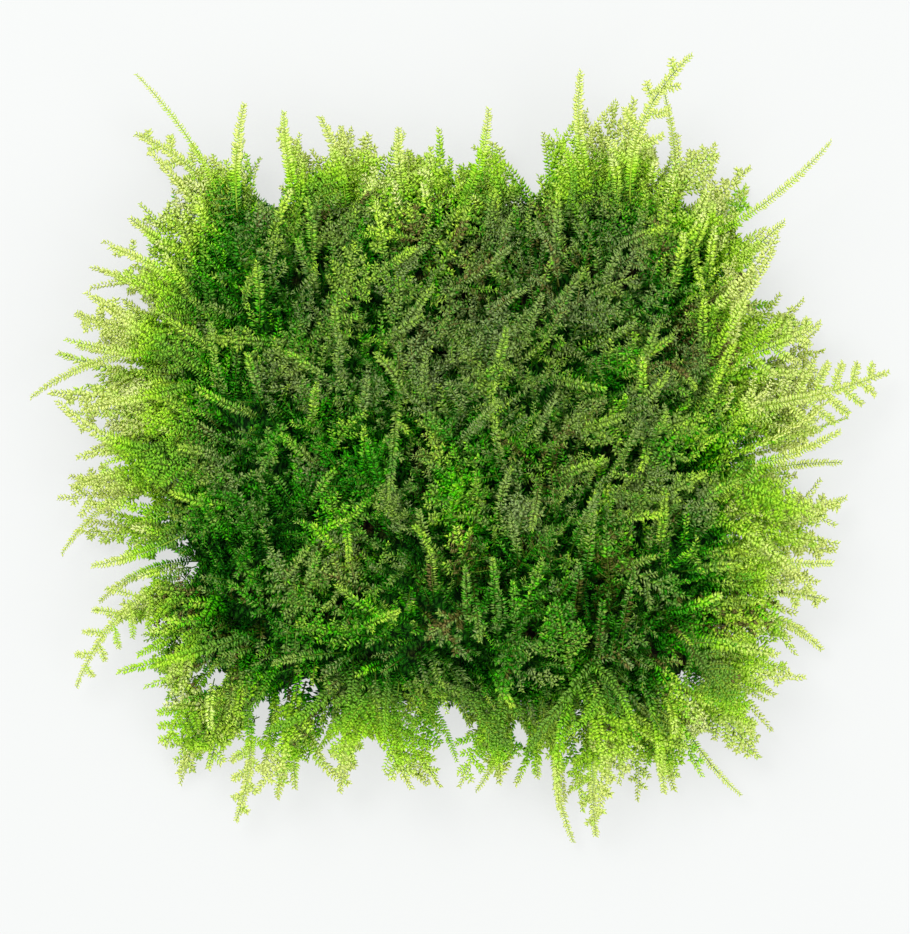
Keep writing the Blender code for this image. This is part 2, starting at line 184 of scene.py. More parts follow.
# %% [markdown]
# ## Leaves
#
# A moss leaf is a small pointed blade, folded a little along its rib. The cheapest closed solid of
# that form has four corners: base, left edge, right edge and tip, with the two edges raised above
# the rib. It has four faces, and nearly two hundred thousand of them still render quickly. The long
# shoots stand alone against the floor, so their leaves get six corners and a rounder outline.

# %% Two leaf shapes
# Each corner is (along, across, up) in shares of the leaf's length, half width and fold. The faces
# follow the corners.
PLAIN_LEAF = (
    np.array([(0, 0, 0), (0.38, 1, 1), (0.38, -1, 1), (1, 0, 0.4)]),
    np.array([(0, 2, 1), (3, 1, 2), (0, 1, 3), (0, 3, 2)]),
)
ROUND_LEAF = (
    np.array([(0, 0, 0), (0.25, 0.9, 0.9), (0.25, -0.9, 0.9), (0.62, 0.72, 1), (0.62, -0.72, 1),
              (1, 0, 0.3)]),
    np.array([(0, 2, 1), (1, 2, 4), (1, 4, 3), (5, 3, 4), (0, 1, 3), (0, 3, 5), (0, 5, 4),
              (0, 4, 2)]),
)
LEAF_WIDTH, LEAF_FOLD = 0.5, 0.09  # shares of the length


def leaf_solids(leaves, shape):
    """Corner = base + direction (length a) + left (half width b) + normal (fold c), for each
    corner (a, b, c) of the shape. Returns points, triangles and UVs."""
    corners, faces = shape
    length = leaves["length"][:, None, None]
    direction, left = leaves["direction"][:, None], leaves["left"][:, None]
    normal = np.cross(direction, left)
    a, b, c = corners.T[:, None, :, None]
    points = leaves["base"][:, None] + direction * length * a
    points = points + left * length * b * LEAF_WIDTH / 2 + normal * length * c * LEAF_FOLD
    first = np.arange(len(points))[:, None, None] * len(corners)
    across, along = corners[:, 1] / 2 + 0.5, corners[:, 0]
    uv = field_uv(leaves["column"][:, None], leaves["row"][:, None], across, along)
    return points.reshape(-1, 3), (faces[None] + first).reshape(-1, 3), uv.reshape(-1, 2)


# %% [markdown]
# ## Shoots
#
# On a real shoot the leaves stand in two flat rows, left and right, with a third row that lies
# along the back of the stem. They open wide, and close up towards the tip, where they are also
# smaller. A shoot is a row in a table of arrays: its curve, which way its flat side faces, how
# long its leaves are, and how fresh it is.

# %% A table of shoots
def shoot_table(foot, pull, tip, face, leaf, fresh, tone=0.0, hue=0.0, opening=1.0, dense=1.0,
                home=None):
    """One table from the curves' three points, the way each flat side faces, the longest leaf,
    the freshness from 0 to 1, the tone (how much lighter than its neighbours), the hue (how
    much yellower), how far the leaves open, how dense they are, and the home, which is where
    its plant is rooted."""
    values = {"leaf": leaf, "fresh": fresh, "tone": tone, "hue": hue, "opening": opening,
              "dense": dense}
    legs = np.linalg.norm(pull - foot, axis=1) + np.linalg.norm(tip - pull, axis=1)
    return {
        **{key: np.broadcast_to(value, len(foot)) for key, value in values.items()},
        "foot": foot, "pull": pull, "tip": tip, "face": np.broadcast_to(face, foot.shape),
        "home": foot[:, :2] if home is None else home,
        "length": legs / 2 + np.linalg.norm(tip - foot, axis=1) / 2,
    }


def join(tables):
    """Several tables as one."""
    return {key: np.concatenate([table[key] for table in tables]) for key in tables[0]}


def pick(table, rows):
    """Some rows of a table."""
    return {key: values[rows] for key, values in table.items()}


def curve_of(shoots, rows=slice(None)):
    """The foot, pull and tip of some rows."""
    return [shoots[key][rows] for key in ("foot", "pull", "tip")]


def frames(shoots, rows, share):
    """At a share of some rows' curves: the point, and the unit vectors ahead, to the left, which
    is face x ahead, and up, which is ahead x left."""
    curve = curve_of(shoots, rows)
    ahead = curve_ahead(*curve, share)
    left = unit(np.cross(shoots["face"][rows], ahead))
    return curve_point(*curve, share), ahead, left, np.cross(ahead, left)


# %% [markdown]
# How young a leaf looks depends on where it is: the clump is darkest in its middle and youngest at
# the rim, and the last leaves of a shoot are younger than its first. How much light reaches it
# depends on how deep it is below the tops of its neighbours, and that light is painted into the
# leaf's colour. The tables hold what the photograph shows here and there: painted shade in hollows
# and painted light on a few tufts, younger and older patches, and brown spots.

# %% Youth and light of a leaf by its place
MIDDLE_YOUTH, BLOTCH_YOUTH, RIM_YOUTH, RIM_SPAN = 0.16, 0.12, 0.76, (0.90, 1.39)
BAND_YOUTH, BAND_RING, BAND_WIDTH = 0.13, 0.98, 0.13  # the strong green just inside the rim
FRESH_YOUTH, FRESH_TIP_YOUTH = 0.08, 0.30
FRONT_LATE, FRONT_SPAN = 0.09, (18, 34)  # how much further out the front turns young
TUFT_RISE, LIGHT_DEPTH = 5.0, 8.0  # the tufts' tops over the mat, and how far light reaches down
DEEP_SHADE, DEEP_SPAN, EDGE_SPAN = 0.85, (0.1, 1.0), (0.98, 1.14)
LOW_LIGHT, HIGH_GAIN = 0.76, 0.24  # outside the cushion
HIGH_SPAN, FAR_SPAN = (2, 9), (1.10, 1.35)
# painted shade in the hollows where the tops open onto the mat's depth, and painted light where the
# strength is below 0
PAINTED_SHADE_AND_LIGHT = np.array([  # middle x and y, radius, how much darker (or lighter, below 0)
    (11, -21, 8, 0.45), (-28.5, -20.5, 6, 0.5), (-24, -7, 8, 0.42), (31, -19, 5, 0.4),
    (3, -19, 4, 0.35), (-24, 17, 4, 0.35), (18, 25, 5, 0.08), (20, 8.5, 2.5, 0.3),
    (28, 0, 4.5, 0.32), (-12, -2, 4.5, 0.68), (-1.2, -5, 3, 0.6), (-1, -27, 3, 0.35),
    (5.5, -30.3, 3.5, 0.48), (-18, -25.5, 3.5, 0.4), (-12, -21.3, 3.5, 0.48), (1, -12, 3, 0.3),
    (-14, 4.5, 3, 0.25), (-34, -6, 3, 0.2), (24, 15, 5, -0.2), (-18, 30.5, 5, -0.25),
    (11, 20, 5, -0.2), (10.5, 9, 6, -0.2), (-34, -16.5, 3, -0.2), (25, -9.5, 4, -0.2),
    (19, -21.5, 5, 0.38), (-32, 27, 6, 0.26), (-32, -8, 5, 0.15), (19.5, -30, 5, -0.25),
    (-6.6, -32, 3, -0.2), (-31.5, -26.5, 3, -0.25), (4, 20.5, 4, -0.18), (-5, 23.5, 4, -0.18),
    (-30, 3.5, 4, -0.18), (15, 12.5, 5, -0.18), (-23.5, 2, 3.5, 0.3), (-16.5, -10.5, 3.5, 0.28),
])
YOUNG_PATCHES = np.array([  # middle x and y, radius, how much younger (or older, below 0)
    (-33, 27, 7.5, -0.07), (18, 27, 9, -0.2), (4, 25, 7, -0.1), (-16, -5, 7, 0.08),
    (20, 6, 6, 0.12), (-8, 30, 7, 0.16), (-14, -22, 8, 0.14), (-4, 14, 9, -0.04), (30, -6, 7, 0.1),
    (32, 37, 6, 0.22), (39, 26, 8, 0.14), (-36, -3, 7, -0.22), (-35, -17, 6, -0.14),
    (-46, 24, 6, 0.1), (0, -33, 5, -0.1), (-8, -41, 7, 0.16), (10, -39, 5, -0.1), (-10, 36, 6, 0.1),
    (41, 10, 7, 0.12), (35, -35, 6, 0.12), (-4, -2, 5, 0.1), (-29, 15, 5, 0.1),
    (0.5, -12.5, 5, 0.1), (13, 0, 5, 0.09), (22, -5, 5, 0.08), (8, -22, 6, -0.1),
    (27, -24, 6, -0.1),
])
BROWN_SPOTS = np.array([  # middle x and y, radius, strength
    (3.6, -19.5, 3, 1), (20, -22, 6, 1), (29, 14, 3.5, 0.9), (-20, 30, 3, 0.8),
    (-1.7, 24.8, 3, 0.8), (13.9, -3.6, 2.5, 0.8), (-3.2, -21.8, 2.5, 0.8), (12, 23.5, 3.5, 0.7),
    (-20, -31.5, 2.5, 0.8), (33, -22.5, 2.5, 0.7), (35, 17, 2.5, 0.7), (5, 19, 2.5, 0.6),
    (-28.4, -23.5, 4, 1),
])


def youth_at(place, fresh, share):
    """Youth rises from the middle to the rim, along each fresh shoot and in soft blotches, with
    a band of strong green just inside the rim. All of it starts further out at the front."""
    x, y = place[:, 0], place[:, 1]
    ring = ring_share(x, y) - FRONT_LATE * smooth(*FRONT_SPAN, -y)
    blotches = BLOTCH_YOUTH * patches(x, y, size=5, seed=3)
    middle = MIDDLE_YOUTH + blotches + blots(x, y, YOUNG_PATCHES)
    band = BAND_YOUTH * np.exp(-((ring - BAND_RING) / BAND_WIDTH) ** 2)
    rim = RIM_YOUTH * smooth(*RIM_SPAN, ring)
    return middle + band + rim + fresh * (FRESH_YOUTH + FRESH_TIP_YOUTH * share)


def light_at(place):
    """Light falls with the depth below the tufts' tops. Outside the cushion it is full for what
    is high or far out, and less for the low shoots under the others."""
    x, y, z = place.T
    ring = ring_share(x, y)
    depth = (mat_top(x, y) + TUFT_RISE - z) / LIGHT_DEPTH
    inner = 1 - smooth(*DEEP_SPAN, depth) * DEEP_SHADE - blots(x, y, PAINTED_SHADE_AND_LIGHT)
    clear = LOW_LIGHT + HIGH_GAIN * np.maximum(smooth(*HIGH_SPAN, z), smooth(*FAR_SPAN, ring))
    return np.clip(inner + (clear - inner) * smooth(*EDGE_SPAN, ring), 0, 1)


# %% Rows of leaves along a table of shoots
LEAF_PITCH, BACK_PITCH = 0.47, 0.85  # mm from leaf to leaf, in the side rows and in the back row
FINE_PITCH, FINE_BACK_PITCH = 0.38, 1.9  # the same on the long shoots
LEAF_OPEN, BACK_OPEN = math.radians(66), math.radians(32)
LEAF_LIFT, LEAF_TILT, LEAF_NOD, BACK_NOD = 0.10, 0.12, 0.25, 0.5
SIDE_STRAY, BACK_STRAY = (0.13, 0.16, 0.3), (0.15, 0.45, 0.5)  # how chance turns, lifts and tilts
STEM_BARE, LAST_LEAF = 0.1, 0.995  # shares of the curve
TIP_CLOSING, TIP_SMALLER, TIP_PAINTED_LIGHT = 0.35, 0.4, 0.2
YOUTH_CHANCE, LIGHT_CHANCE = 0.04, 0.08
WITHERED_SHOOTS, GREEN_END = 0.85, 0.7


def leaf_row(shoots, side, pitch, ragged, rng):
    """One row of leaves. On side 1 or -1 a leaf points to ahead cos(a) + side sin(a), on side 0
    to ahead cos(a) + up sin(a), and a closes towards the tip. Ragged leaves stray more. In the
    mat's brown spots most shoots have withered but for their ends."""
    leafy = shoots["length"] * (1 - STEM_BARE) * shoots["dense"]
    count = np.maximum(2, np.round(leafy / pitch)).astype(int)
    owner = np.repeat(np.arange(len(count)), count)
    number = np.arange(count.sum()) - np.repeat(np.cumsum(count) - count, count)
    # left and right leaves stand half a pitch apart
    share = STEM_BARE + (1 - STEM_BARE) * (number + 0.5 + 0.25 * side) / count[owner]
    share = np.minimum(share, LAST_LEAF)
    base, ahead, left, up = frames(shoots, owner, share)
    stray = ragged * rng.normal(0, 1, (len(owner), 3))
    turn, lift, tilt = (stray * (SIDE_STRAY if side else BACK_STRAY)).T[..., None]
    close = 1 - TIP_CLOSING * share[:, None] ** 4
    if side:
        angle = LEAF_OPEN * shoots["opening"][owner, None] * close + turn
        direction = ahead * np.cos(angle) + left * side * np.sin(angle) + up * (LEAF_LIFT + lift)
        normal = unit(up + left * side * (LEAF_TILT + tilt) - ahead * LEAF_NOD)
    else:
        angle = BACK_OPEN * close + turn
        direction = ahead * np.cos(angle) + up * np.sin(angle) + left * lift
        normal = unit(up - ahead * BACK_NOD + left * tilt)
    direction = unit(direction)
    # a leaf is smaller near the stem's foot and near its tip
    swell = (0.72 + 0.28 * smooth(0, 0.3, share)) * (1 - TIP_SMALLER * share**6)
    length = shoots["leaf"][owner] * swell * (1 + 0.1 * rng.normal(0, 1, len(owner)))
    middle = base + direction * length[:, None] * 0.5
    youth = youth_at(middle, shoots["fresh"][owner], share) + shoots["hue"][owner]
    youth = youth + rng.normal(0, YOUTH_CHANCE, len(owner)) * ragged
    # painted light towards the shoot's tip and painted shade towards its foot
    light = light_at(middle) + shoots["tone"][owner] + TIP_PAINTED_LIGHT * (share - 0.5)
    light = light + rng.normal(0, LIGHT_CHANCE, len(owner)) * ragged
    brown = WITHERED_SHOOTS * blots(*shoots["home"].T, BROWN_SPOTS) * (ragged > 1)
    withered = (rng.random(len(count)) < brown)[owner] & (share < GREEN_END)
    column = np.where(withered, STEM_COLUMNS[1], field_number(youth, YOUNGEST_COLUMN))
    return {
        "base": base, "direction": direction, "left": unit(np.cross(normal, direction)),
        "length": length, "column": column, "row": field_number(light, BRIGHTEST_ROW),
    }


# %% [markdown]
# The stem under the leaves is a thin thread. A three-sided tube along the same curve is enough in
# the mat, and five sides where a long shoot can be seen from near.

# %% Stems as tubes along their curves
STEM_RADIUS = (0.10, 0.05)  # at the foot and at the tip
GREEN_STEMS, BROWN_STEMS = (0.84, 1.2), (0.5, 0.9)  # spans of the ring share and of brownness
PLAIN_TUBE, FINE_TUBE = (4, 3), (12, 5)  # stations along it and sides round it


def stem_tubes(shoots, stations, sides):
    """Point = curve(t) + (left cos(k) + up sin(k)) radius(t) on a grid of stations by sides,
    closed by a fan of faces at each end. Stems are green at the rim, and brown in spots."""
    count = len(shoots["foot"])
    share = np.broadcast_to(np.linspace(0, 1, stations), (count, stations))
    at, _, left, up = frames(shoots, np.s_[:, None], share)
    turn = np.arange(sides) * math.tau / sides
    radius = STEM_RADIUS[0] + (STEM_RADIUS[1] - STEM_RADIUS[0]) * share
    ring = left[:, :, None] * np.cos(turn)[:, None] + up[:, :, None] * np.sin(turn)[:, None]
    points = at[:, :, None] + ring * radius[:, :, None, None]
    i, k = np.meshgrid(np.arange(stations - 1), np.arange(sides), indexing="ij")
    a, b = i * sides + k, i * sides + (k + 1) % sides
    walls = np.stack([a, b, b + sides, a, b + sides, a + sides], -1).reshape(-1, 3)
    fan = np.stack([np.zeros(sides - 2, int), np.arange(2, sides), np.arange(1, sides - 1)], -1)
    faces = np.concatenate([walls, fan, (stations - 1) * sides + fan[:, ::-1]])
    first = np.arange(count)[:, None, None] * stations * sides
    spot = np.repeat(at.reshape(-1, 3), sides, axis=0)
    x, y = spot[:, 0], spot[:, 1]
    young = smooth(*GREEN_STEMS, ring_share(x, y))
    brown = smooth(*BROWN_STEMS, patches(x, y, size=6, seed=5) + blots(x, y, BROWN_SPOTS))
    low, high = STEM_COLUMNS
    column = np.round(low + (high - low) * np.clip(0.35 - 0.35 * young + 0.65 * brown, 0, 1))
    row = field_number(light_at(spot), BRIGHTEST_ROW)
    uv = field_uv(column, row, 0.5, np.repeat(share.ravel(), sides) * 0.8)
    return points.reshape(-1, 3), (faces[None] + first).reshape(-1, 3), uv


def leafy_mesh(shoots, rng, ragged=1.0, fine=False):
    """Stems with their three rows of leaves, as one list of points, triangles and UVs."""
    shape, tube = (ROUND_LEAF, FINE_TUBE) if fine else (PLAIN_LEAF, PLAIN_TUBE)
    close, back = (FINE_PITCH, FINE_BACK_PITCH) if fine else (LEAF_PITCH, BACK_PITCH)
    parts = [stem_tubes(shoots, *tube)]
    for side, pitch in ((1, close), (-1, close), (0, back)):
        parts.append(leaf_solids(leaf_row(shoots, side, pitch, ragged, rng), shape))
    points, triangles, uvs = zip(*parts)
    first = np.cumsum([0] + [len(some) for some in points])
    triangles = [some + start for some, start in zip(triangles, first)]
    return np.concatenate(points), np.concatenate(triangles), np.concatenate(uvs)


# %% [markdown]
# A mesh is filled from the arrays in one go with foreach_set. No point may go below the floor, and
# each piece rides on the model's one body.

# %% Arrays into a piece
FLOOR_GAP = 0.05
made = {}


def new_piece(name, points, triangles, uv, material, slot):
    """A named object from points in mm, triangles and one UV for each point."""
    points[:, 2] = np.maximum(points[:, 2], FLOOR_GAP)
    mesh = bpy.data.meshes.new(name)
    mesh.vertices.add(len(points))
    mesh.vertices.foreach_set("co", (points * MM).ravel())
    mesh.loops.add(triangles.size)
    mesh.loops.foreach_set("vertex_index", triangles.ravel().astype(np.int32))
    mesh.polygons.add(len(triangles))
    mesh.polygons.foreach_set("loop_start", np.arange(0, triangles.size, 3, dtype=np.int32))
    layer = mesh.uv_layers.new(name="OFBake")
    layer.data.foreach_set("uv", uv[triangles.ravel()].ravel())
    mesh.update(calc_edges=True)
    mesh.materials.append(material)
    piece = bpy.data.objects.new(name, mesh)
    bpy.context.scene.collection.objects.link(piece)
    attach(piece, "root")
    made[name] = len(triangles)
    return piece


# %% [markdown]
# ## Leaf material
#
# Moss leaves are one cell thick: they reflect some light, let some through in a yellower green, and
# shine a little when wet. One node group reads the leaf print and gives the colour, the rib's
# height and how damp the leaf is. The mat's leaves and the rim's young leaves are two materials
# that use it, because the young ones let far more light through.

# %% Node helpers
BLACK, WHITE = (0, 0, 0), (1, 1, 1)


def feed(tree, target, inputs):
    """Fills a node's inputs, which go by name or number: a socket is linked, a value written."""
    for key, value in inputs.items():
        socket = target.inputs[key]
        if isinstance(value, bpy.types.NodeSocket):
            tree.links.new(value, socket)
        else:
            socket.default_value = (*value, 1.0) if socket.type == "RGBA" else value


def node(tree, kind, inputs=None, **settings):
    """A new node with its properties set and its inputs fed. Returns its outputs."""
    new_node = tree.nodes.new(kind)
    for key, value in settings.items():
        setattr(new_node, key, value)
    feed(tree, new_node, inputs or {})
    return new_node.outputs


def reckon(tree, value, *steps):
    """Math nodes in a row. Each step is an operation and, if it takes one, a second value."""
    for operation, *second in steps:
        inputs = dict(enumerate([value, *second]))
        value = node(tree, "ShaderNodeMath", inputs, operation=operation)[0]
    return value


def ramp(tree, value, *stops):
    """A Color Ramp with (place, (red, green, blue)) stops."""
    tree_ramp = tree.nodes.new("ShaderNodeValToRGB")
    elements = tree_ramp.color_ramp.elements
    while len(elements) < len(stops):
        elements.new(0.5)
    for element, (place, colour) in zip(elements, stops):
        element.position, element.color = place, (*colour, 1.0)
    feed(tree, tree_ramp, {"Fac": value})
    return tree_ramp.outputs["Color"]


def mix(tree, how, share, first, second):
    """A Mix Color node, whose two colours are its inputs 6 and 7."""
    inputs = {0: share, 6: first, 7: second}
    return node(tree, "ShaderNodeMix", inputs, data_type="RGBA", blend_type=how)[2]


def new_material(name):
    """A material, its node tree and the Principled BSDF in it."""
    material = bpy.data.materials.new(name)
    material.use_nodes = True
    return material, material.node_tree, material.node_tree.nodes["Principled BSDF"]


# %% The colours of leaves by youth and light
LEAF_COLOURS = (  # youth, colour in the shade
    (0, (0.048, 0.165, 0.017)), (0.13, (0.034, 0.23, 0.006)), (0.3, (0.042, 0.335, 0.007)),
    (0.48, (0.16, 0.68, 0.003)), (0.66, (0.52, 0.89, 0.008)), (0.87, (0.8, 0.92, 0.27)),
    (0.9, (0.28, 0.4, 0.025)), (0.94, (0.04, 0.15, 0.008)), (1, (0.105, 0.088, 0.02)),
)
SUNLIT_COLOURS = (  # youth, colour in full light
    (0, (0.34, 0.45, 0.2)), (0.15, (0.33, 0.425, 0.165)), (0.4, (0.385, 0.53, 0.098)),
    (0.62, (0.67, 0.91, 0.09)), (0.87, (0.89, 0.96, 0.5)), (0.9, (0.36, 0.48, 0.05)),
    (0.94, (0.08, 0.2, 0.02)), (1, (0.24, 0.2, 0.07)),
)
SHADE = (  # light, by how much it multiplies the colour
    (0, (0.06, 0.34, 0.01)), (0.3, (0.25, 0.78, 0.04)), (0.65, (0.7, 1, 0.36)), (1, WHITE),
)
CELL_MOTTLE = ((0.3, (0.75, 0.78, 0.7)), (0.7, (1.2, 1.15, 1.1)))
RIB_COLOUR, RIB_THINNESS = (0.52, 0.75, 0.09), 9
THROUGH_TINT = (1.15, 1.1, 0.6)


# %% The leaf print as a node group
def leaf_print_group():
    """Reads the field board. The column gives the colour, the row darkens it towards black-green
    or turns it paler in full light, and inside the field the rib is paler and small blotches
    stand for cells. Rib paleness and Sunlit paleness say how much, from 0 to 1."""
    tree = bpy.data.node_groups.new("leaf_print", "ShaderNodeTree")
    for name in ("Rib paleness", "Sunlit paleness"):
        tree.interface.new_socket(name, in_out="INPUT", socket_type="NodeSocketFloat")
    kinds = {"Colour": "Color", "Through": "Color", "Height": "Float", "Damp": "Float"}
    for name, kind in kinds.items():
        tree.interface.new_socket(name, in_out="OUTPUT", socket_type="NodeSocket" + kind)
    given = node(tree, "NodeGroupInput")
    uv = node(tree, "ShaderNodeUVMap", uv_map="OFBake")[0]
    u, v = (reckon(tree, side, ("MULTIPLY", FIELDS))
            for side in node(tree, "ShaderNodeSeparateXYZ", {0: uv})[:2])
    youth, light = (reckon(tree, side, ("FLOOR",), ("DIVIDE", FIELDS - 1)) for side in (u, v))
    rib = reckon(tree, u, ("FRACT",), ("SUBTRACT", 0.5), ("ABSOLUTE",),
                 ("MULTIPLY", -RIB_THINNESS), ("ADD", 1), ("MAXIMUM", 0))
    cells = node(tree, "ShaderNodeTexNoise", {"Vector": uv, "Scale": 190, "Detail": 1})["Fac"]
    unshaded = ramp(tree, youth, *LEAF_COLOURS)
    shaded = mix(tree, "MULTIPLY", 1, unshaded, ramp(tree, light, *SHADE))
    sunlit = reckon(tree, ramp(tree, light, (0.55, BLACK), (1, WHITE)),
                    ("MULTIPLY", given["Sunlit paleness"]))
    green = mix(tree, "MIX", sunlit, shaded, ramp(tree, youth, *SUNLIT_COLOURS))
    # the rib is the leaf's own paler colour, shown more the more painted light the row gives
    paler = reckon(tree, rib, ("MULTIPLY", light), ("MULTIPLY", given["Rib paleness"]))
    green = mix(tree, "MIX", paler, green, RIB_COLOUR)
    green = mix(tree, "MULTIPLY", 1, green, ramp(tree, cells, *CELL_MOTTLE))
    node(tree, "NodeGroupOutput", {
        "Colour": green,
        "Through": mix(tree, "MULTIPLY", 1, green, THROUGH_TINT),
        "Height": reckon(tree, cells, ("MULTIPLY", 0.6), ("ADD", rib)),
        "Damp": reckon(tree, cells, ("MULTIPLY", 0.35), ("ADD", 0.16)),
    })
    return tree


leaf_print = leaf_print_group()


# %% Two leaf materials from it
def leaf_material(name, rib_paleness, sunlit_paleness, through_share, bump):
    """Principled for the leaf's face and Translucent for the light from behind it."""
    material, tree, face = new_material(name)
    paleness = {"Rib paleness": rib_paleness, "Sunlit paleness": sunlit_paleness}
    look = node(tree, "ShaderNodeGroup", paleness, node_tree=leaf_print)
    relief = {"Strength": bump, "Distance": 0.02 * MM, "Height": look["Height"]}
    feed(tree, face, {
        "Base Color": look["Colour"], "Roughness": look["Damp"], "Specular IOR Level": 0.12,
        "Normal": node(tree, "ShaderNodeBump", relief)[0],
    })
    behind = node(tree, "ShaderNodeBsdfTranslucent", {"Color": look["Through"]})
    both = node(tree, "ShaderNodeMixShader", {0: through_share, 1: face.outputs[0], 2: behind[0]})
    feed(tree, tree.nodes["Material Output"], {"Surface": both[0]})
    return material


mat_leaf = leaf_material(
    "mat_leaf", rib_paleness=0.2, sunlit_paleness=0.8, through_share=0.4, bump=0.35)
rim_leaf = leaf_material(
    "rim_leaf", rib_paleness=0.3, sunlit_paleness=0.45, through_share=0.5, bump=0.25)

# %% [markdown]
# ## The woven core
#
# Between the shoots one sees old stems and dead leaves. Their own colour is dark green and brown,
# and it is painted nearly black towards each leaf's edge for the deep shade in the mat. The core
# is one closed surface that stays a few millimetres under the mat's top, with ridges like matted
# stems, a foot that spreads a little, two notches where the photograph's gaps cut into the mat,
# and a flat underside where the clump was lifted off what it grew on.

# %% The core's material
# from a pressed leaf's middle to its edge: its own dark green or brown, painted nearly black at the
# edge as the shade between the leaves
TANGLE_GREEN = (
    (0.1, (0.02, 0.16, 0.005)), (0.4, (0.009, 0.075, 0.003)), (0.62, (0.001, 0.012, 0.001)),
)
TANGLE_BROWN = (
    (0.1, (0.045, 0.034, 0.009)), (0.4, (0.014, 0.012, 0.003)), (0.62, (0.002, 0.002, 0.001)),
)


def tangle_material():
    """Each Voronoi cell, stretched to about 0.4 by 1 mm, is one pressed leaf: green in its middle
    and nearly black at its edge. The leaves lie two ways, in blotches, and some blotches are
    brown. The same cells are the bump's height."""
    material, tree, face = new_material("old_tangle")
    place = node(tree, "ShaderNodeTexCoord")["Object"]
    bend = node(tree, "ShaderNodeTexNoise", {"Vector": place, "Scale": 500})
    bent = {0: bend["Color"], 1: (1.5 * MM, 1.5 * MM, 0.6 * MM), 2: place}
    bent = node(tree, "ShaderNodeVectorMath", bent, operation="MULTIPLY_ADD")[0]
    lying = []
    for turn in (0.5, 2.0):
        aim = {"Vector": bent, "Rotation": (0, 0.3, turn), "Scale": (1, 0.4, 1)}
        aim = node(tree, "ShaderNodeMapping", aim)[0]
        leaves = node(tree, "ShaderNodeTexVoronoi", {"Vector": aim, "Scale": 2300})
        lying.append(leaves["Distance"])
    leaf = mix(tree, "MIX", ramp(tree, bend["Fac"], (0.47, BLACK), (0.50, WHITE)), *lying)
    blotches = node(tree, "ShaderNodeTexNoise", {"Vector": place, "Scale": 160})["Fac"]
    where = ramp(tree, blotches, (0.54, BLACK), (0.66, WHITE))
    green, brown = (ramp(tree, leaf, *stops) for stops in (TANGLE_GREEN, TANGLE_BROWN))
    relief = {"Strength": 0.8, "Distance": 0.2 * MM, "Height": leaf}
    feed(tree, face, {
        "Base Color": mix(tree, "MIX", where, green, brown), "Roughness": 0.8,
        "Specular IOR Level": 0.05, "Normal": node(tree, "ShaderNodeBump", relief, invert=True)[0],
    })
    return material


old_tangle = tangle_material()

# %% The core's surface
CORE_BEARINGS, CORE_RINGS = 220, 56
CORE_SHOULDER = 0.82  # the share of the rings at which the top ends and the side begins
CORE_DEPTH, CORE_LEAST = 3.2, 1.5  # mm below the mat's top, and its least height
CORE_RIDGE, CORE_WAVER, CORE_FOOT = 0.35, 0.028, 0.02  # mm, and two shares of the side's place
CORE_NOTCHES = np.array([  # middle x and y, radius, by which share the side stands back
    (-20.6, -32, 2.4, 0.08), (-35.3, -15.4, 2.4, 0.06),
])


def core_surface():
    """Bearing by ring grid. Rings go from the top's middle over the shoulder to the floor: the
    top's height is mat_top - depth, the side is the waist's superellipse and a little wider at
    its foot, and a ridge noise moves each point up or out."""
    bearing, ring = np.meshgrid(
        np.arange(CORE_BEARINGS) * math.tau / CORE_BEARINGS, np.linspace(0, 1, CORE_RINGS),
        indexing="ij",
    )
    ray = np.array([np.cos(bearing), np.sin(bearing)])
    square = np.sign(ray) * np.abs(ray) ** MAT_SQUARENESS
    share = smooth(-0.6, CORE_SHOULDER, ring) * np.minimum(ring / CORE_SHOULDER, 1)
    foot = 1 + CORE_FOOT * smooth(CORE_SHOULDER, 0.92, ring)
    share = np.where(ring > CORE_SHOULDER, foot, share)
    x, y = square[0] * MAT_HALF[0] * share, square[1] * MAT_HALF[1] * share
    down = smooth(CORE_SHOULDER, 1.0, ring)
    z = np.maximum(mat_top(x, y) - CORE_DEPTH, CORE_LEAST) * (1 - down)
    ridges = patches(x, y, size=1.1, seed=21) + patches(x, z * 3, size=1.6, seed=22)
    z = np.maximum(z + CORE_RIDGE * ridges * (1 - down), 0.0)
    grow = 1 + CORE_WAVER * patches(x + z, y, size=1.3, seed=23) * smooth(0.5, 0.8, ring)
    grow = grow - blots(x, y, CORE_NOTCHES)
    return np.stack([x * grow, y * grow, z], -1)


def closed_grid(grid):
    """Triangles of a grid that wraps round in its first direction, with a point at each end of
    the second: the first ring is closed at the top's middle, the last at the underside's."""
    turns, rings = grid.shape[:2]
    i, k = np.meshgrid(np.arange(turns), np.arange(rings - 1), indexing="ij")
    a, b = i * rings + k, (i + 1) % turns * rings + k
    walls = np.stack([a, a + 1, b + 1, a, b + 1, b], -1).reshape(-1, 3)
    points = grid.reshape(-1, 3)
    first = np.arange(turns) * rings
    ahead = np.roll(first, -1)
    lid = np.stack([np.full(turns, len(points)), first, ahead], -1)
    base = np.stack([np.full(turns, len(points) + 1), ahead + rings - 1, first + rings - 1], -1)
    ends = [grid[:, 0].mean(0), np.zeros(3)]
    return np.concatenate([points, ends]), np.concatenate([walls, lid, base])


core_points, core_faces = closed_grid(core_surface())
core_uv = np.clip(core_points[:, :2] / (2.2 * MAT_HALF.max()) + 0.5, 0, 1)
core_points[:, 2] -= FLOOR_GAP  # so that its foot is cut flat
piece = new_piece("woven_core", core_points, core_faces, core_uv, old_tangle, "mat_moss")
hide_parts("moss_mat")
print("core triangles:", made["woven_core"])
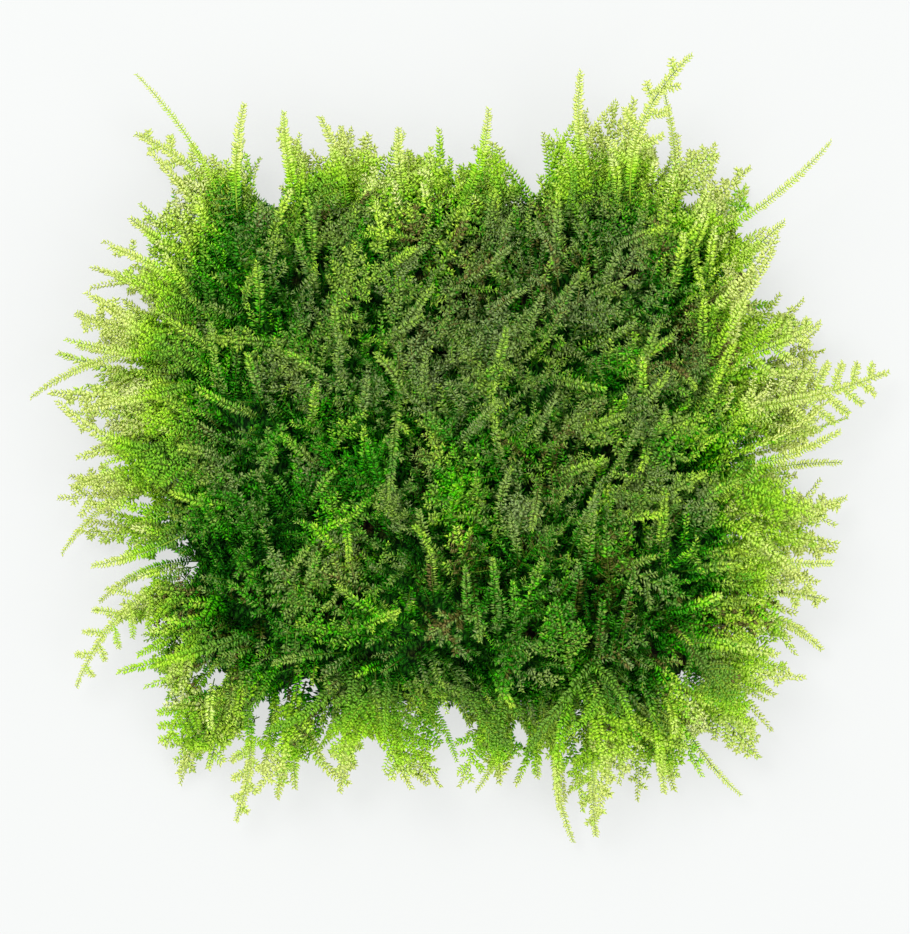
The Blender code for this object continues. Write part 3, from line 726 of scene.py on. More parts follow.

# %% [markdown]
# ## Which way the moss lies
#
# The clump isn't combed. Each plant has grown its own way, and where several lie the same way they
# make a swirl: upright at the back, flat to the left on the left side, towards the middle at the
# front, and outwards all round the rim. A short list of places and headings, read off the
# photograph, gives each shoot its direction, and chance does the rest.

# %% Headings over the mat
LIE = np.array([  # x, y, heading in degrees: 0 is right, 90 is to the back
    (-39, 35, 120), (-30, 25, 96), (-19, 34, 85), (-5, 35, 80), (10, 34, 95), (22, 37, 85),
    (33, 32, 50), (-40, 20, 135), (-33, 16, 140), (-41, 8, 185), (-24, 9, 75), (-10, 14, 25),
    (-15, 8, 100), (-29, -3, 178), (-41, -4, 182), (-7, -4, 120), (3, 4, 80), (15, 23, 75),
    (21, 13, 10), (33, 23, 95), (41, 24, 45), (38, 15, 20), (44, 8, -5), (33, 7, 60), (19, -7, 50),
    (3, -20, 92), (14, -23, 88), (22, -15, 55), (33, -20, 0), (41, -7, 5), (42, -23, -30),
    (34, -34, -50), (21, -36, -88), (11, -39, -95), (-2, -31, -55), (5, -38, -85), (-17, -36, -92),
    (-33, -35, 235), (-40, -23, 200), (-24, -17, 55), (-11, -20, 150), (-17, -5, 90),
    (-28, -27, 225),
])
LIE_SIZE = 6.5


def lie_at(x, y):
    """The heading at a place: the angle of the sum of the listed headings, each weighted with
    exp(-(distance / size)^2)."""
    off = (x[:, None] - LIE[:, 0]) ** 2 + (y[:, None] - LIE[:, 1]) ** 2
    weight = np.exp(-np.minimum(off / LIE_SIZE**2, 60))
    turn = np.radians(LIE[:, 2])
    return np.arctan2((weight * np.sin(turn)).sum(-1), (weight * np.cos(turn)).sum(-1))


# %% [markdown]
# Between the shoots of the rim the floor shows through in places. A shoot that would cross one of
# these gaps is left out. How far the rim reaches differs round the clump, and a shoot that would
# pass that reach is made shorter.

# %% Gaps and reach of the rim
GAPS = np.array([  # middle x and y, radius
    (32, -30.5, 1.1), (16.3, -39.5, 1.6), (0, -36.5, 3), (8.2, -37.5, 2), (-20.5, -33.2, 2.4),
    (-26, -35.5, 2.4), (-24, -38.5, 1.6), (-6.4, -34, 1.4), (-11.5, -41, 3), (-33.6, -31, 2.2),
    (-39.5, -14, 2.2), (-43, -15, 1.8), (-41.5, -7, 1.3), (-39, -9.5, 1), (-25, 36.5, 3.4),
    (-10, 37, 1.2), (9.6, 38.5, 3.6), (31.8, 33.8, 1.2), (28.4, 40.5, 2), (39.5, 30.5, 2.5),
    (41, 21.4, 1.8), (42, 12.7, 2.3), (41.5, -0.3, 1.6), (38, -12, 1), (-45, -19, 2.5),
    (-25.2, 41, 2.2), (-25.2, 45.5, 2.2), (-23.3, 37.8, 1.3), (-20.6, -31.3, 1.7),
    (-36, -15.4, 1.7),
])
GAP_SHARE, GAP_WAVER = 0.75, 0.4  # how much of a gap's radius counts, and how that differs
GAP_SPOTS = (0.45, 0.65, 0.85, 1.0)  # shares of a shoot
REACH_STEP = 10
REACH = np.array([  # distance from the middle, every 10 degrees from the right
    48.5, 50.5, 47.5, 48.5, 50.5, 51.5, 51.5, 44.5, 38.5, 40, 39.5, 42.5, 47, 53.5, 53.5, 50.5,
    50.5, 50.5, 49.5, 49.5, 50.5, 50.5, 52.5, 54.5, 48.5, 47.5, 42.5, 41.5, 44.5, 47.5, 51.5, 53.5,
    53.5, 51.5, 50.5, 47.5,
])
SHORTEST = 3.0


def clear_of_gaps(table):
    """The shoots that cross no gap, by four spots along the outer part of each. A gap is wider
    for some shoots than for others, so that its edge is uneven."""
    free = np.ones(len(table["foot"]), bool)
    waver = patches(*table["tip"][:, :2].T, size=1.2, seed=31)[:, None]
    wide = GAP_SHARE * (1 + GAP_WAVER * waver)
    for share in GAP_SPOTS:
        spot = curve_point(*curve_of(table), np.full(len(free), share))
        off = np.hypot(spot[:, :1] - GAPS[:, 0], spot[:, 1:2] - GAPS[:, 1])
        free &= (off > GAPS[:, 2] * wide).all(1)
    return pick(table, free)


def reach_towards(x, y):
    """How far the fringe reaches in the direction of a point."""
    bearing = np.degrees(np.arctan2(y, x)) % 360
    return np.interp(bearing, np.arange(0, 361, REACH_STEP), np.append(REACH, REACH[0]))


def within_reach(foot, flat, length, share):
    """Each length cut by as much as the tip would pass the fringe's reach times the share."""
    x, y = (foot[:, :2] + flat[:, :2] * length[:, None]).T
    over = np.maximum(np.hypot(x, y) - reach_towards(x, y) * share, 0)
    return np.maximum(length - over, SHORTEST)


# %% Feet on the mat and tips over it
GRID_HALF = (39, 38)
LOWEST_FOOT = 5.0


def mat_feet(pitch, stray, over, rng):
    """Feet on a grid, each moved by chance and put over the mat's height, where that is over
    5 mm."""
    x, y = np.meshgrid(*(np.arange(-half, half + 0.1, pitch) for half in GRID_HALF))
    x = x.ravel() + rng.uniform(-stray, stray, x.size)
    y = y.ravel() + rng.uniform(-stray, stray, y.size)
    foot = np.stack([x, y, mat_top(x, y)], -1)
    return foot[foot[:, 2] > LOWEST_FOOT] + UP * over


def rim_share(foot):
    """0 for a foot inside the mat and 1 for one at its edge."""
    return smooth(0.7, 1.02, ring_share(foot[:, 0], foot[:, 1]))


def tips_over_mat(foot, away, hang, rises, rng):
    """Each foot moved away and put, by chance, between two rises over the mat. Where a tip has
    passed the mat's edge, the share hang of its foot's height takes the mat's place."""
    tip = foot + away
    under = np.maximum(mat_top(tip[:, 0], tip[:, 1]), hang * foot[:, 2])
    tip[:, 2] = under + rng.uniform(*rises, len(foot))
    return tip


# %% [markdown]
# ## The short shoots between
#
# Most of what one sees from above is the tips of short shoots that look up out of the mat at all
# angles, like small green rosettes. They fill the mat between the larger sprays.

# %% Short shoots all over the mat
SHORT_PITCH, SHORT_STRAY, ROOT_DEPTH = 1.5, 0.9, 2.6
SHORT_LENGTH, SHORT_WITHIN = (5.0, 9.0), 0.97  # mm, and the share of the rim's reach
SHORT_LEAF = 0.9
UPRIGHT, LYING_LEAN, RIM_LEAN, MOST_LEAN = 12, 60, 26, 88  # degrees


def short_shoots(rng):
    """A shoot is flat by chance: 0 stands up with any heading, and 1 leans 72 degrees and keeps
    to the lie of the moss, with its leaves' flat side up. Those at the rim lean out more."""
    foot = mat_feet(SHORT_PITCH, SHORT_STRAY, -ROOT_DEPTH, rng)
    count, rim = len(foot), rim_share(foot)
    lying = rng.random(count)
    heading = lie_at(*foot.T[:2]) + rng.normal(0, 1, count) * (1.2 - 0.75 * np.maximum(lying, rim))
    flat = level(heading)
    lean = np.radians(np.minimum(UPRIGHT + LYING_LEAN * lying + RIM_LEAN * rim, MOST_LEAN))
    length = within_reach(foot, flat, rng.uniform(*SHORT_LENGTH, count), SHORT_WITHIN)
    length, lean, steep = length[:, None], lean[:, None], (lean * 0.4)[:, None]
    pull = foot + (flat * np.sin(steep) + UP * np.cos(steep)) * length * 0.5
    tip = foot + (flat * np.sin(lean) + UP * np.cos(lean)) * length
    twist = rng.normal(0, 1, (count, 1)) * (0.8 - 0.55 * lying[:, None])
    face = unit(UP * np.sin(lean) - flat * np.cos(lean) + np.cross(UP, flat) * twist)
    fresh = rng.beta(1.2, 2.2, count)
    leaf = SHORT_LEAF * rng.uniform(0.75, 1.15, count)
    tone, hue = rng.normal(-0.06, 0.15, count), rng.normal(0, 0.10, count)
    return shoot_table(foot, pull, tip, face, leaf, fresh, tone, hue, rng.uniform(0.8, 1.1, count))


short_table = clear_of_gaps(short_shoots(np.random.default_rng(41)))
print("short shoots:", len(short_table["foot"]))

# %% [markdown]
# ## Sprays
#
# A spray is a stem that lies over the mat with side branches left and right, like a small fern.
# The same rule makes the fronds of the rim, so it takes any number of stems at once.

# %% Side branches for a table of stems
BRANCH_ANGLE = math.radians(52)
BRANCH_SPAN = (0.26, 0.86)
BRANCH_LEAF = 0.92


def branched(stems, count, reach, rng, first, droop, stray):
    """The stems and their side branches as one table. Branch i starts at the place u_i between
    the stem's bare start (the share first) and its tip, goes 52 degrees off the stem, left and
    right in turn, and is reach (1.2 - u) long. Stray is how much chance there is in both."""
    if not count:
        return stems
    many = len(stems["foot"])
    rows = np.repeat(np.arange(many), count)
    number = np.tile(np.arange(count), many)
    place = BRANCH_SPAN[0] + (BRANCH_SPAN[1] - BRANCH_SPAN[0]) * number / (count - 1)
    first, reach = (np.broadcast_to(value, many)[rows] for value in (first, reach))
    base, ahead, left, up = frames(stems, rows, first + (1 - first) * place)
    side = np.where(number % 2 == 0, 1.0, -1.0)[:, None]
    angle = (BRANCH_ANGLE + stray * rng.normal(0, 0.8, len(rows)))[:, None]
    length = (reach * (1.2 - place) * (1 + stray * rng.normal(0, 1, len(rows))))[:, None]
    away = unit(ahead * np.cos(angle) + left * side * np.sin(angle))
    away = unit(away + up * stray * rng.normal(0, 1, (len(rows), 1)))
    end = base + away * length - UP * droop * length
    bend = (base + end) / 2 + (left * side * 0.12 + up * 0.1) * length
    shared = {key: stems[key][rows] for key in ("fresh", "tone", "hue", "opening", "dense", "home")}
    branches = shoot_table(base, bend, end, up, stems["leaf"][rows] * BRANCH_LEAF, **shared)
    return join([stems, branches])


# %% Sprays all over the mat
SPRAY_PITCH, SPRAY_STRAY, SPRAY_OVER = 4.6, 2.2, -1.0
SPRAY_LENGTH, SPRAY_WITHIN, SPRAY_FLATNESS = (8.0, 15.0), 0.95, 0.93
SPRAY_RISES, SPRAY_HANG = (1.5, 5.0), 0.55
SPRAY_BRANCHES, SPRAY_BRANCH_REACH = 8, (2.6, 5.2)


def spray_stems(rng):
    """Stems that start in the mat and end 1.5 to 5 mm over it, or hang over its edge."""
    foot = mat_feet(SPRAY_PITCH, SPRAY_STRAY, SPRAY_OVER, rng)
    count = len(foot)
    stray = rng.normal(0, 1, count) * (0.6 - 0.25 * rim_share(foot))
    flat = level(lie_at(*foot.T[:2]) + stray)
    side = np.cross(UP, flat)
    length = within_reach(foot, flat, rng.uniform(*SPRAY_LENGTH, count), SPRAY_WITHIN)[:, None]
    tip = tips_over_mat(foot, flat * length * SPRAY_FLATNESS, SPRAY_HANG, SPRAY_RISES, rng)
    pull = (foot + tip) / 2 + UP * rng.uniform(1.5, 3.5, (count, 1))
    pull = pull + side * rng.normal(0, 1.6, (count, 1))
    face = unit(UP + side * rng.normal(0, 0.35, (count, 1)))
    leaf = SHORT_LEAF * rng.uniform(0.9, 1.15, count)
    fresh, tone = rng.uniform(0.1, 0.9, count), rng.normal(-0.01, 0.17, count)
    hue = rng.normal(0, 0.11, count)
    return shoot_table(foot, pull, tip, face, leaf, fresh, tone, hue, rng.uniform(0.8, 1.1, count))


spray_rng = np.random.default_rng(42)
spray_table = clear_of_gaps(spray_stems(spray_rng))
branch_reach = spray_rng.uniform(*SPRAY_BRANCH_REACH, len(spray_table["foot"]))
spray_table = branched(
    spray_table, SPRAY_BRANCHES, branch_reach, spray_rng, first=0.1, droop=0.05, stray=0.22)
spray_table = clear_of_gaps(spray_table)
print("sprays:", len(branch_reach), "with their branches:", len(spray_table["foot"]))

# %% [markdown]
# Over these lie single fresh feathers, lighter than what is below them: younger, and high enough
# to get nearly full painted light. They make the long strokes that one sees from a distance.

# %% Feathers over the mat
FEATHER_PITCH, FEATHER_STRAY, FEATHER_OVER = 6.6, 3.2, 1.0
FEATHER_LENGTH, FEATHER_WITHIN = (5.5, 10.0), 0.9
FEATHER_RISES, FEATHER_HANG, FEATHER_ARCH = (4.8, 6.4), 0.7, 2.0
FEATHER_LEAF, SHOWY_DENSE = 0.93, 1.4


def feathers(rng):
    """Unbranched shoots along the lie of the moss, from 1 mm to 5 or 6 mm over the mat."""
    foot = mat_feet(FEATHER_PITCH, FEATHER_STRAY, FEATHER_OVER, rng)
    count = len(foot)
    flat = level(lie_at(*foot.T[:2]) + rng.normal(0, 0.45, count))
    side = np.cross(UP, flat)
    length = within_reach(foot, flat, rng.uniform(*FEATHER_LENGTH, count), FEATHER_WITHIN)[:, None]
    tip = tips_over_mat(foot, flat * length, FEATHER_HANG, FEATHER_RISES, rng)
    pull = (foot + tip) / 2 + UP * FEATHER_ARCH + side * rng.normal(0, 0.8, (count, 1))
    face = unit(UP + side * rng.normal(0, 0.25, (count, 1)))
    tone, hue = rng.normal(0.03, 0.08, count), rng.normal(0.04, 0.06, count)
    fresh = rng.uniform(0.3, 0.9, count)
    return shoot_table(foot, pull, tip, face, FEATHER_LEAF, fresh, tone, hue, opening=0.95,
                       dense=SHOWY_DENSE)


feather_table = clear_of_gaps(feathers(np.random.default_rng(45)))
print("feathers:", len(feather_table["foot"]))

# %% [markdown]
# ## The fringe
#
# Round the side, young shoots stand out from the mat at every height. Each rises a little and
# droops to its tip, which is why the clump's outline is feathery and pale. Nearly half of them are
# sprays. Below them a skirt of short shoots hides the core's edge.

# %% Feet round the mat's side
SIDE_STEPS = 720
BUSHY = np.array([  # bearing in degrees, how close the feet are there
    (0, 1.3), (12, 1.5), (25, 1.2), (45, 1), (62, 1.4), (75, 1), (90, 0.7), (110, 0.8), (130, 1.2),
    (150, 1.1), (175, 1.4), (190, 1.1), (205, 0.8), (220, 0.8), (235, 1.3), (250, 1.1), (268, 0.8),
    (285, 1.2), (310, 1.2), (335, 1), (360, 1.3),
])


def side_feet(count, heights, inset, rng):
    """Feet round the mat's side between two heights. The side is the cushion's superellipse,
    r = (|cos/a|^p + |sin/b|^p)^(-1/p), walked in even steps that are shorter where it is bushy.
    Inset is the share of the way out at which they stand."""
    turn = np.linspace(0, math.tau, SIDE_STEPS + 1)
    ray = np.column_stack([np.cos(turn), np.sin(turn)])
    edge = ray * (np.abs(ray / MAT_HALF) ** MAT_POWER).sum(1)[:, None] ** (-1 / MAT_POWER)
    bushy = np.interp(np.degrees(turn[1:]), BUSHY[:, 0], BUSHY[:, 1])
    walked = np.append(0, np.cumsum(np.linalg.norm(np.diff(edge, axis=0), axis=1) * bushy))
    place = (np.arange(count) + rng.uniform(0, 0.9, count)) / count * walked[-1]
    spot = np.column_stack([np.interp(place, walked, side) for side in edge.T])
    height = rng.uniform(*heights, count)
    return np.column_stack([spot * (inset - 0.08 * smooth(4, 10, height))[:, None], height])


# %% Fringe shoots and the skirt below them
FRINGE_SHOOTS, FRINGE_SPRAYS, SKIRT_SHOOTS = 220, 180, 440
FRINGE_BRANCHES, FRINGE_BRANCH_REACH = 11, (2.4, 5.0)
FRINGE_LEAF, FRINGE_WITHIN, FRINGE_GOAL = 1.05, 1.09, 1.06
FRINGE_HEIGHTS, SKIRT_HEIGHTS, LOWEST_TIP = (0.8, 10.0), (0.6, 9.0), 0.9
FRINGE_CLIMB, FRINGE_ARCH = 6, 0.16  # degrees, and share of the length
SHORTEST_WAY, LOOK_AHEAD = 4.0, 1.15  # the lie is read a little further out than the foot
SKIRT_CLIMB, SKIRT_LENGTH = (-10, 40), (6.0, 9.5)


def fringe_stems(count, shortest, rng):
    """The heading is the lie of the moss with chance, and the length is a share (shortest to
    1.15) of the way to the fringe's reach."""
    foot = side_feet(count, FRINGE_HEIGHTS, inset=0.91, rng=rng)
    x, y, height = foot.T
    way = np.maximum(FRINGE_GOAL * reach_towards(x, y) - np.hypot(x, y), SHORTEST_WAY)
    flat = level(lie_at(x * LOOK_AHEAD, y * LOOK_AHEAD) + rng.normal(0, 0.5, count))
    length = way * rng.uniform(shortest, 1.15, count)
    length = within_reach(foot, flat, length, FRINGE_WITHIN)[:, None]
    # the higher its foot, the more it climbs
    climb = np.radians(rng.normal(FRINGE_CLIMB, 10, count) + 1.5 * (height - 4))[:, None]
    tip = foot + (flat * np.cos(climb) + UP * np.sin(climb)) * length
    tip[:, 2] = np.maximum(tip[:, 2], LOWEST_TIP)
    pull = (foot + tip) / 2 + UP * (FRINGE_ARCH * length)
    pull = pull + np.cross(UP, flat) * rng.normal(0, 0.17, (count, 1)) * length
    face = unit(UP + rng.normal(0, 0.3, (count, 3)))
    leaf = FRINGE_LEAF * rng.uniform(0.75, 1.1, count)
    fresh, tone = rng.uniform(0, 0.6, count), rng.normal(0.05, 0.09, count)
    hue = np.maximum(rng.normal(0.07, 0.16, count), 0.0)
    opening = rng.uniform(0.85, 1.15, count)
    return shoot_table(foot, pull, tip, face, leaf, fresh, tone, hue, opening)


def skirt_shoots(rng):
    """Short older shoots close round the side, at all angles, that hide the core's edge."""
    foot = side_feet(SKIRT_SHOOTS, SKIRT_HEIGHTS, inset=0.9, rng=rng)
    flat = level(np.arctan2(foot[:, 1], foot[:, 0]) + rng.normal(0, 0.8, SKIRT_SHOOTS))
    climb = np.radians(rng.uniform(*SKIRT_CLIMB, SKIRT_SHOOTS))[:, None]
    length = rng.uniform(*SKIRT_LENGTH, (SKIRT_SHOOTS, 1))
    tip = foot + (flat * np.cos(climb) + UP * np.sin(climb)) * length
    pull = (foot + tip) / 2 + flat * 0.15 * length
    face = unit(UP + rng.normal(0, 0.4, (SKIRT_SHOOTS, 3)))
    tone, hue = rng.normal(-0.10, 0.12, SKIRT_SHOOTS), rng.normal(-0.05, 0.08, SKIRT_SHOOTS)
    return shoot_table(foot, pull, tip, face, leaf=1.0, fresh=0.2, tone=tone, hue=hue)


# %% [markdown]
# Some fronds of the rim are so dense that they show as pale fans in the photograph. They are
# placed one by one.

# %% Dense fronds and the whole fringe
RIM_FRONDS = np.array([  # foot and tip in mm, how long the branches are
    (34, 9, 7, 50.5, 8.2, 5, 4.8), (34, 5, 5, 48.5, 2.2, 4, 4.8), (35, 7.5, 4, 47, 5, 3, 4.8),
    (34, 14, 8, 47.5, 17, 6, 4.2), (-34, 16, 7, -48, 14.5, 5, 4.2), (-34, 9, 6, -47, 7, 4, 4.4),
    (22, 31, 8, 25, 43, 9, 4.4), (27, 30, 9, 35, 41, 8, 4.2), (30, -29, 7, 41, -41.5, 4, 4.4),
    (24, -31, 6, 30, -44, 4, 4.2), (-28, -29, 6, -37, -41, 4, 4.4), (-34, -2, 5, -47, -6, 3, 4.2),
])
FROND_BRANCHES = 14


def rim_fronds(rng):
    """The dense fronds of the rim, each from its foot to its tip."""
    foot, tip, reach = RIM_FRONDS[:, :3], RIM_FRONDS[:, 3:6], RIM_FRONDS[:, 6]
    stems = shoot_table(foot, (foot + tip) / 2 + UP * 2.5, tip, UP, FRINGE_LEAF, fresh=0.5)
    return branched(stems, FROND_BRANCHES, reach, rng, first=0.05, droop=0.08, stray=0.12)


fringe_rng = np.random.default_rng(43)
fringe_sprays = clear_of_gaps(fringe_stems(FRINGE_SPRAYS, shortest=0.6, rng=fringe_rng))
branch_reach = fringe_rng.uniform(*FRINGE_BRANCH_REACH, len(fringe_sprays["foot"]))
fringe_sprays = branched(
    fringe_sprays, FRINGE_BRANCHES, branch_reach, fringe_rng, first=0.1, droop=0.08, stray=0.2)
fringe_table = clear_of_gaps(join([
    fringe_stems(FRINGE_SHOOTS, shortest=0.4, rng=fringe_rng), fringe_sprays,
    skirt_shoots(fringe_rng), rim_fronds(fringe_rng),
]))
print("fringe shoots and branches:", len(fringe_table["foot"]))

# %% [markdown]
# ## Shoots that stand out on the top
#
# Two dozen larger shoots lie over the others and catch the eye: a hooked one, a few fern-like ones
# with side branches and some fresh straight ones. They are placed one by one.

# %% Place the showy shoots
SHOWY_LEAF, SHOWY_TONE, SHOWY_HUE, SHOWY_OPENING = 0.9, 0.1, 0.05, 0.85
SHOWY_SUNK = 3.0  # how much deeper than its rise a foot stands
SHOWY = (  # foot x y, tip x y, rise over the mat at both ends, arch, branches, reach, fresh
    (5.4, 16, 4.7, 4, 2.6, 4.8, 1.5, 0, 0, 0.75),
    (11.4, -2.7, 10.1, -10.7, 4, 5, 1.2, 0, 0, 0.8),
    (2, -14.7, 3.4, -25.5, 3.5, 5.2, 1.4, 6, 2.4, 0.6),
    (15.8, -32, 13.4, -19.6, 3, 6.2, 1.8, 15, 4.6, 0.75),
    (-14.7, -5.4, -14.1, -14.7, 3, 5.6, 2.4, 0, 0, 0.7),
    (-7.4, 9.4, -8.7, -6.7, 3.6, 5.2, 1.6, 5, 2.2, 0.55),
    (26.1, 2.7, 24.8, -2.7, 3.5, 5.8, 1, 0, 0, 0.8),
    (31.5, 28.1, 32.8, 21.4, 3.5, 5.8, 1, 0, 0, 0.85),
    (8, -22.8, 6, -33.5, 3.6, 5, 1.4, 7, 2.6, 0.6),
    (-16.8, -25.5, -7.4, -21.4, 3, 5.4, 1.5, 4, 2, 0.65),
    (-2, -28.1, -7.4, -36.2, 3.2, 4, 1.6, 7, 3, 0.85),
    (-9, 23, -10.5, 33, 3.4, 5, 1.2, 5, 2.2, 0.5),
    (24, -8, 33.5, -3, 3.4, 5, 1.6, 6, 2.4, 0.5),
    (-22, 14, -33, 15, 3.2, 4.6, 1.6, 6, 2.6, 0.5),
    (-28, -2, -22.5, 3, 2.8, 3.4, 1.4, 5, 2.4, 0.3),
    (-22.5, 5, -26, -3.5, 2.8, 3.4, 1.2, 5, 2.4, 0.25),
    (3, -20.5, -4, -25, 2.8, 3.2, 1.2, 5, 2.4, 0.25),
    (-5, -21, 2, -28, 2.8, 3.4, 1.2, 5, 2.4, 0.3),
    (20, 23, 26.5, 28, 2.8, 3.6, 1.2, 6, 2.6, 0.4),
    (-30.5, -12, -26, -19, 2.8, 3.2, 1.2, 5, 2.4, 0.25),
    (-23, -23.5, -30, -17.5, 2.8, 3.2, 1.2, 5, 2.4, 0.25),
    (1.8, -25.5, 1.4, -15.5, 3, 5.4, 1.2, 0, 0, 0.65),
    (5.8, -27.5, 5, -14.5, 3, 5.8, 1.4, 0, 0, 0.7),
    (8.6, -29, 7.6, -17.5, 3, 5.2, 1.4, 6, 1.8, 0.6),
    (19, -28.5, 19.6, -20, 3, 5.2, 1.2, 0, 0, 0.65),
)


def showy_shoots(rng):
    """Each foot and tip stands its own rise over the mat's height there."""
    tables = []
    for x0, y0, x1, y1, rise0, rise1, arch, count, reach, fresh in SHOWY:
        tops = mat_top(np.array([x0, x1]), np.array([y0, y1]))
        foot = np.array([[x0, y0, tops[0] + rise0 - SHOWY_SUNK]])
        tip = np.array([[x1, y1, tops[1] + rise1]])
        pull = (foot + tip) / 2 + UP * 2 * arch
        stem = shoot_table(foot, pull, tip, UP, SHOWY_LEAF, fresh, SHOWY_TONE, SHOWY_HUE,
                           SHOWY_OPENING, SHOWY_DENSE)
        tables.append(branched(stem, count, reach, rng, first=0.1, droop=0.1, stray=0.1))
    return join(tables)


showy_table = showy_shoots(np.random.default_rng(44))

# %% [markdown]
# ## Pieces of the mat and the fringe
#
# The leaves would be one mesh of nearly a million faces. Split by region, each piece stays light
# enough to edit: the middle, four sides of the mat, and the fringe of each side.

# %% Split the mat and the fringe into nine pieces
MIDDLE_SHARE = 0.52
MAT_RAGGED = 1.8  # how many times more the mat's leaves stray than the rim's
SIDES = ("right", "back", "left", "front")


def region_of(table):
    """0 for the middle, or 1 to 4 for the quarter that the plant's home lies in."""
    x, y = table["home"].T
    quarter = np.floor((np.arctan2(y, x) / (math.pi / 2) + 0.5) % 4).astype(int)
    return np.where(ring_share(x, y) < MIDDLE_SHARE, 0, quarter + 1)


def region_pieces(table, names, seed, ragged, material):
    """One piece for each numbered region of a table."""
    for number, name in names:
        chosen = pick(table, region_of(table) == number)
        mesh = leafy_mesh(chosen, np.random.default_rng(seed + number), ragged)
        new_piece(name, *mesh, material, "mat_moss")
        print(name, "triangles:", made[name])


top_table = join([short_table, spray_table, feather_table, showy_table])
top_names = ["middle_shoots"] + [side + "_side_shoots" for side in SIDES]
fringe_names = [side + "_fringe" for side in SIDES]
region_pieces(top_table, enumerate(top_names), 50, ragged=MAT_RAGGED, material=mat_leaf)
region_pieces(fringe_table, enumerate(fringe_names, 1), 60, ragged=1.0, material=rim_leaf)

# %% [markdown]
# ## The long shoots and fronds
#
# These stand clear of the mat, and each is a node of the model. Its leafy piece follows the same
# curve: foot, tip, bow to the left and rise, all in millimetres, with the same side branches. The
# node's own box says where the shoot leaves the mat.

# %% The long shoots' table
LONG_SHOOTS = (  # name, foot x y z, tip x y z, bow, rise, and a frond's branches and their length
    ("back_shoot_1", -31, 33, 10, -42.5, 50, 15, -1, 1),
    ("back_frond_1", -30, 31, 5, -43, 42.5, 5, -1.5, 2, 6, 4),
    ("back_shoot_2", -29, 31, 12, -28, 46, 16, 0.6, 1),
    ("back_shoot_3", -20.5, 31, 11, -22.8, 45, 14, 0.5, 1),
    ("back_shoot_4", -14.5, 31, 10, -18, 44.5, 11, -0.8, 1.5),
    ("back_shoot_5", -6, 32, 10, -7.5, 43, 12, 0.6, 1),
    ("back_shoot_6", 0, 31, 11, 4.5, 45.5, 13, -1, 1),
    ("back_shoot_7", 19, 32, 9, 16.8, 50.5, 13, 1.2, 1),
    ("back_frond_2", 23.5, 32, 11, 31.5, 52.5, 16, 2.8, 1.5, 7, 5),
    ("back_shoot_8", 29.5, 32, 8, 28, 48.5, 7, -0.6, 2),
    ("right_shoot_1", 33, 28, 10, 50, 41, 17, -1.2, -0.5),
    ("right_shoot_2", 34, 20, 9, 44, 30.5, 13, 0.4, 0.5),
    ("right_frond_1", 33, 12, 9, 49, 17, 9, -1.2, 1.5, 7, 5.5),
    ("right_frond_2", 33, 5, 7, 58.5, 10.5, 4, -1, 3.5, 11, 7),
    ("right_frond_7", 33, 2, 4, 49, 4, 2.4, 0.8, 2, 7, 5.5),
    ("right_shoot_3", 34, -3, 8, 51.5, 2.5, 12, -1, 1),
    ("right_shoot_4", 35, -4.5, 5, 52, -1.7, 6, 0.8, 1.5),
    ("right_frond_3", 35, -8.5, 4.5, 52.7, -6.5, 3.5, -1, 2.5, 6, 3.4),
    ("right_shoot_5", 34, -13.5, 8, 50.5, -15.2, 10, -0.6, 1),
    ("right_frond_4", 34, -19, 7, 50, -20.2, 5, 0.8, 2, 6, 3.6),
    ("right_shoot_6", 34, -22.5, 4.5, 49.5, -27, 2.2, 2.4, 2),
    ("right_frond_5", 33, -25, 8, 44.5, -30, 9, 0.4, 1, 5, 3.2),
    ("right_shoot_7", 32, -28.5, 6, 43, -33, 5, 0.6, 1),
    ("right_frond_6", 31, -31, 8, 40, -38, 8, 0.8, 1, 5, 3.4),
    ("front_shoot_1", 28, -31, 6, 38.6, -46.6, 3, -1.2, 2),
    ("front_shoot_2", 25, -32, 8, 28, -46, 9, 0.6, 1),
    ("front_frond_1", 19.5, -31, 8, 19, -52, 4, -0.8, 3, 8, 3.8),
    ("front_shoot_3", 14.5, -31, 5, 16, -53, 2, -1.8, 2),
    ("front_shoot_4", 9.5, -31, 8, 11, -44, 7, 0.6, 1),
    ("front_shoot_5", 4.2, -30, 8, 2.8, -46, 4, 2.6, 2),
    ("front_shoot_6", -7, -29, 6, 0.3, -42, 5, 0.8, 1),
    ("front_shoot_7", -7.5, -31, 9, -7.4, -43, 9, -0.4, 1),
    ("front_frond_2", -14.5, -30, 8, -15.5, -46, 5, 0.4, 2, 7, 3.8),
    ("front_shoot_8", -20, -31, 8, -21.5, -45.5, 6, -0.6, 1),
    ("front_shoot_9", -25, -30, 5, -26, -43, 4, 1.2, 1),
    ("front_frond_3", -29.5, -29, 8, -29.5, -50, 4, 2, 2.5, 7, 3.8),
    ("front_frond_4", -31, -27, 6, -39, -40, 5, -0.6, 2, 6, 4.2),
    ("left_frond_1", -33, -15, 7, -51, -32, 4, -3, 3, 9, 5.5),
    ("left_shoot_1", -33, -21, 9, -42.5, -27.5, 10, 0.4, 0.5),
    ("left_shoot_2", -34, -15, 4.5, -48, -20.5, 2.5, -1.6, 1.5),
    ("left_shoot_3", -34, -10, 9, -48.5, -15.5, 12, 0.8, 1),
    ("left_shoot_4", -33, -3, 5, -53, -14, 4, -3, 2),
    ("left_frond_2", -34, -1, 8, -51.5, -5, 8, -0.6, 2, 6, 3.2),
    ("left_frond_3", -34, 11, 5.5, -50.5, 2.5, 3, -3, 2.5, 7, 3.8),
    ("left_shoot_5", -34, 13, 9, -57, 7, 7, -2.4, 2),
    ("left_shoot_8", -34, 13.5, 5, -51, 14, 3, 0.6, 1.5),
    ("left_frond_4", -33, 16, 6, -51, 18.5, 5, 1.4, 2.5, 7, 4),
    ("left_shoot_6", -34, 20, 10, -46, 27, 14, -0.8, 1),
    ("left_shoot_7", -33, 25, 8, -43.5, 31, 9, 0.6, 1),
)

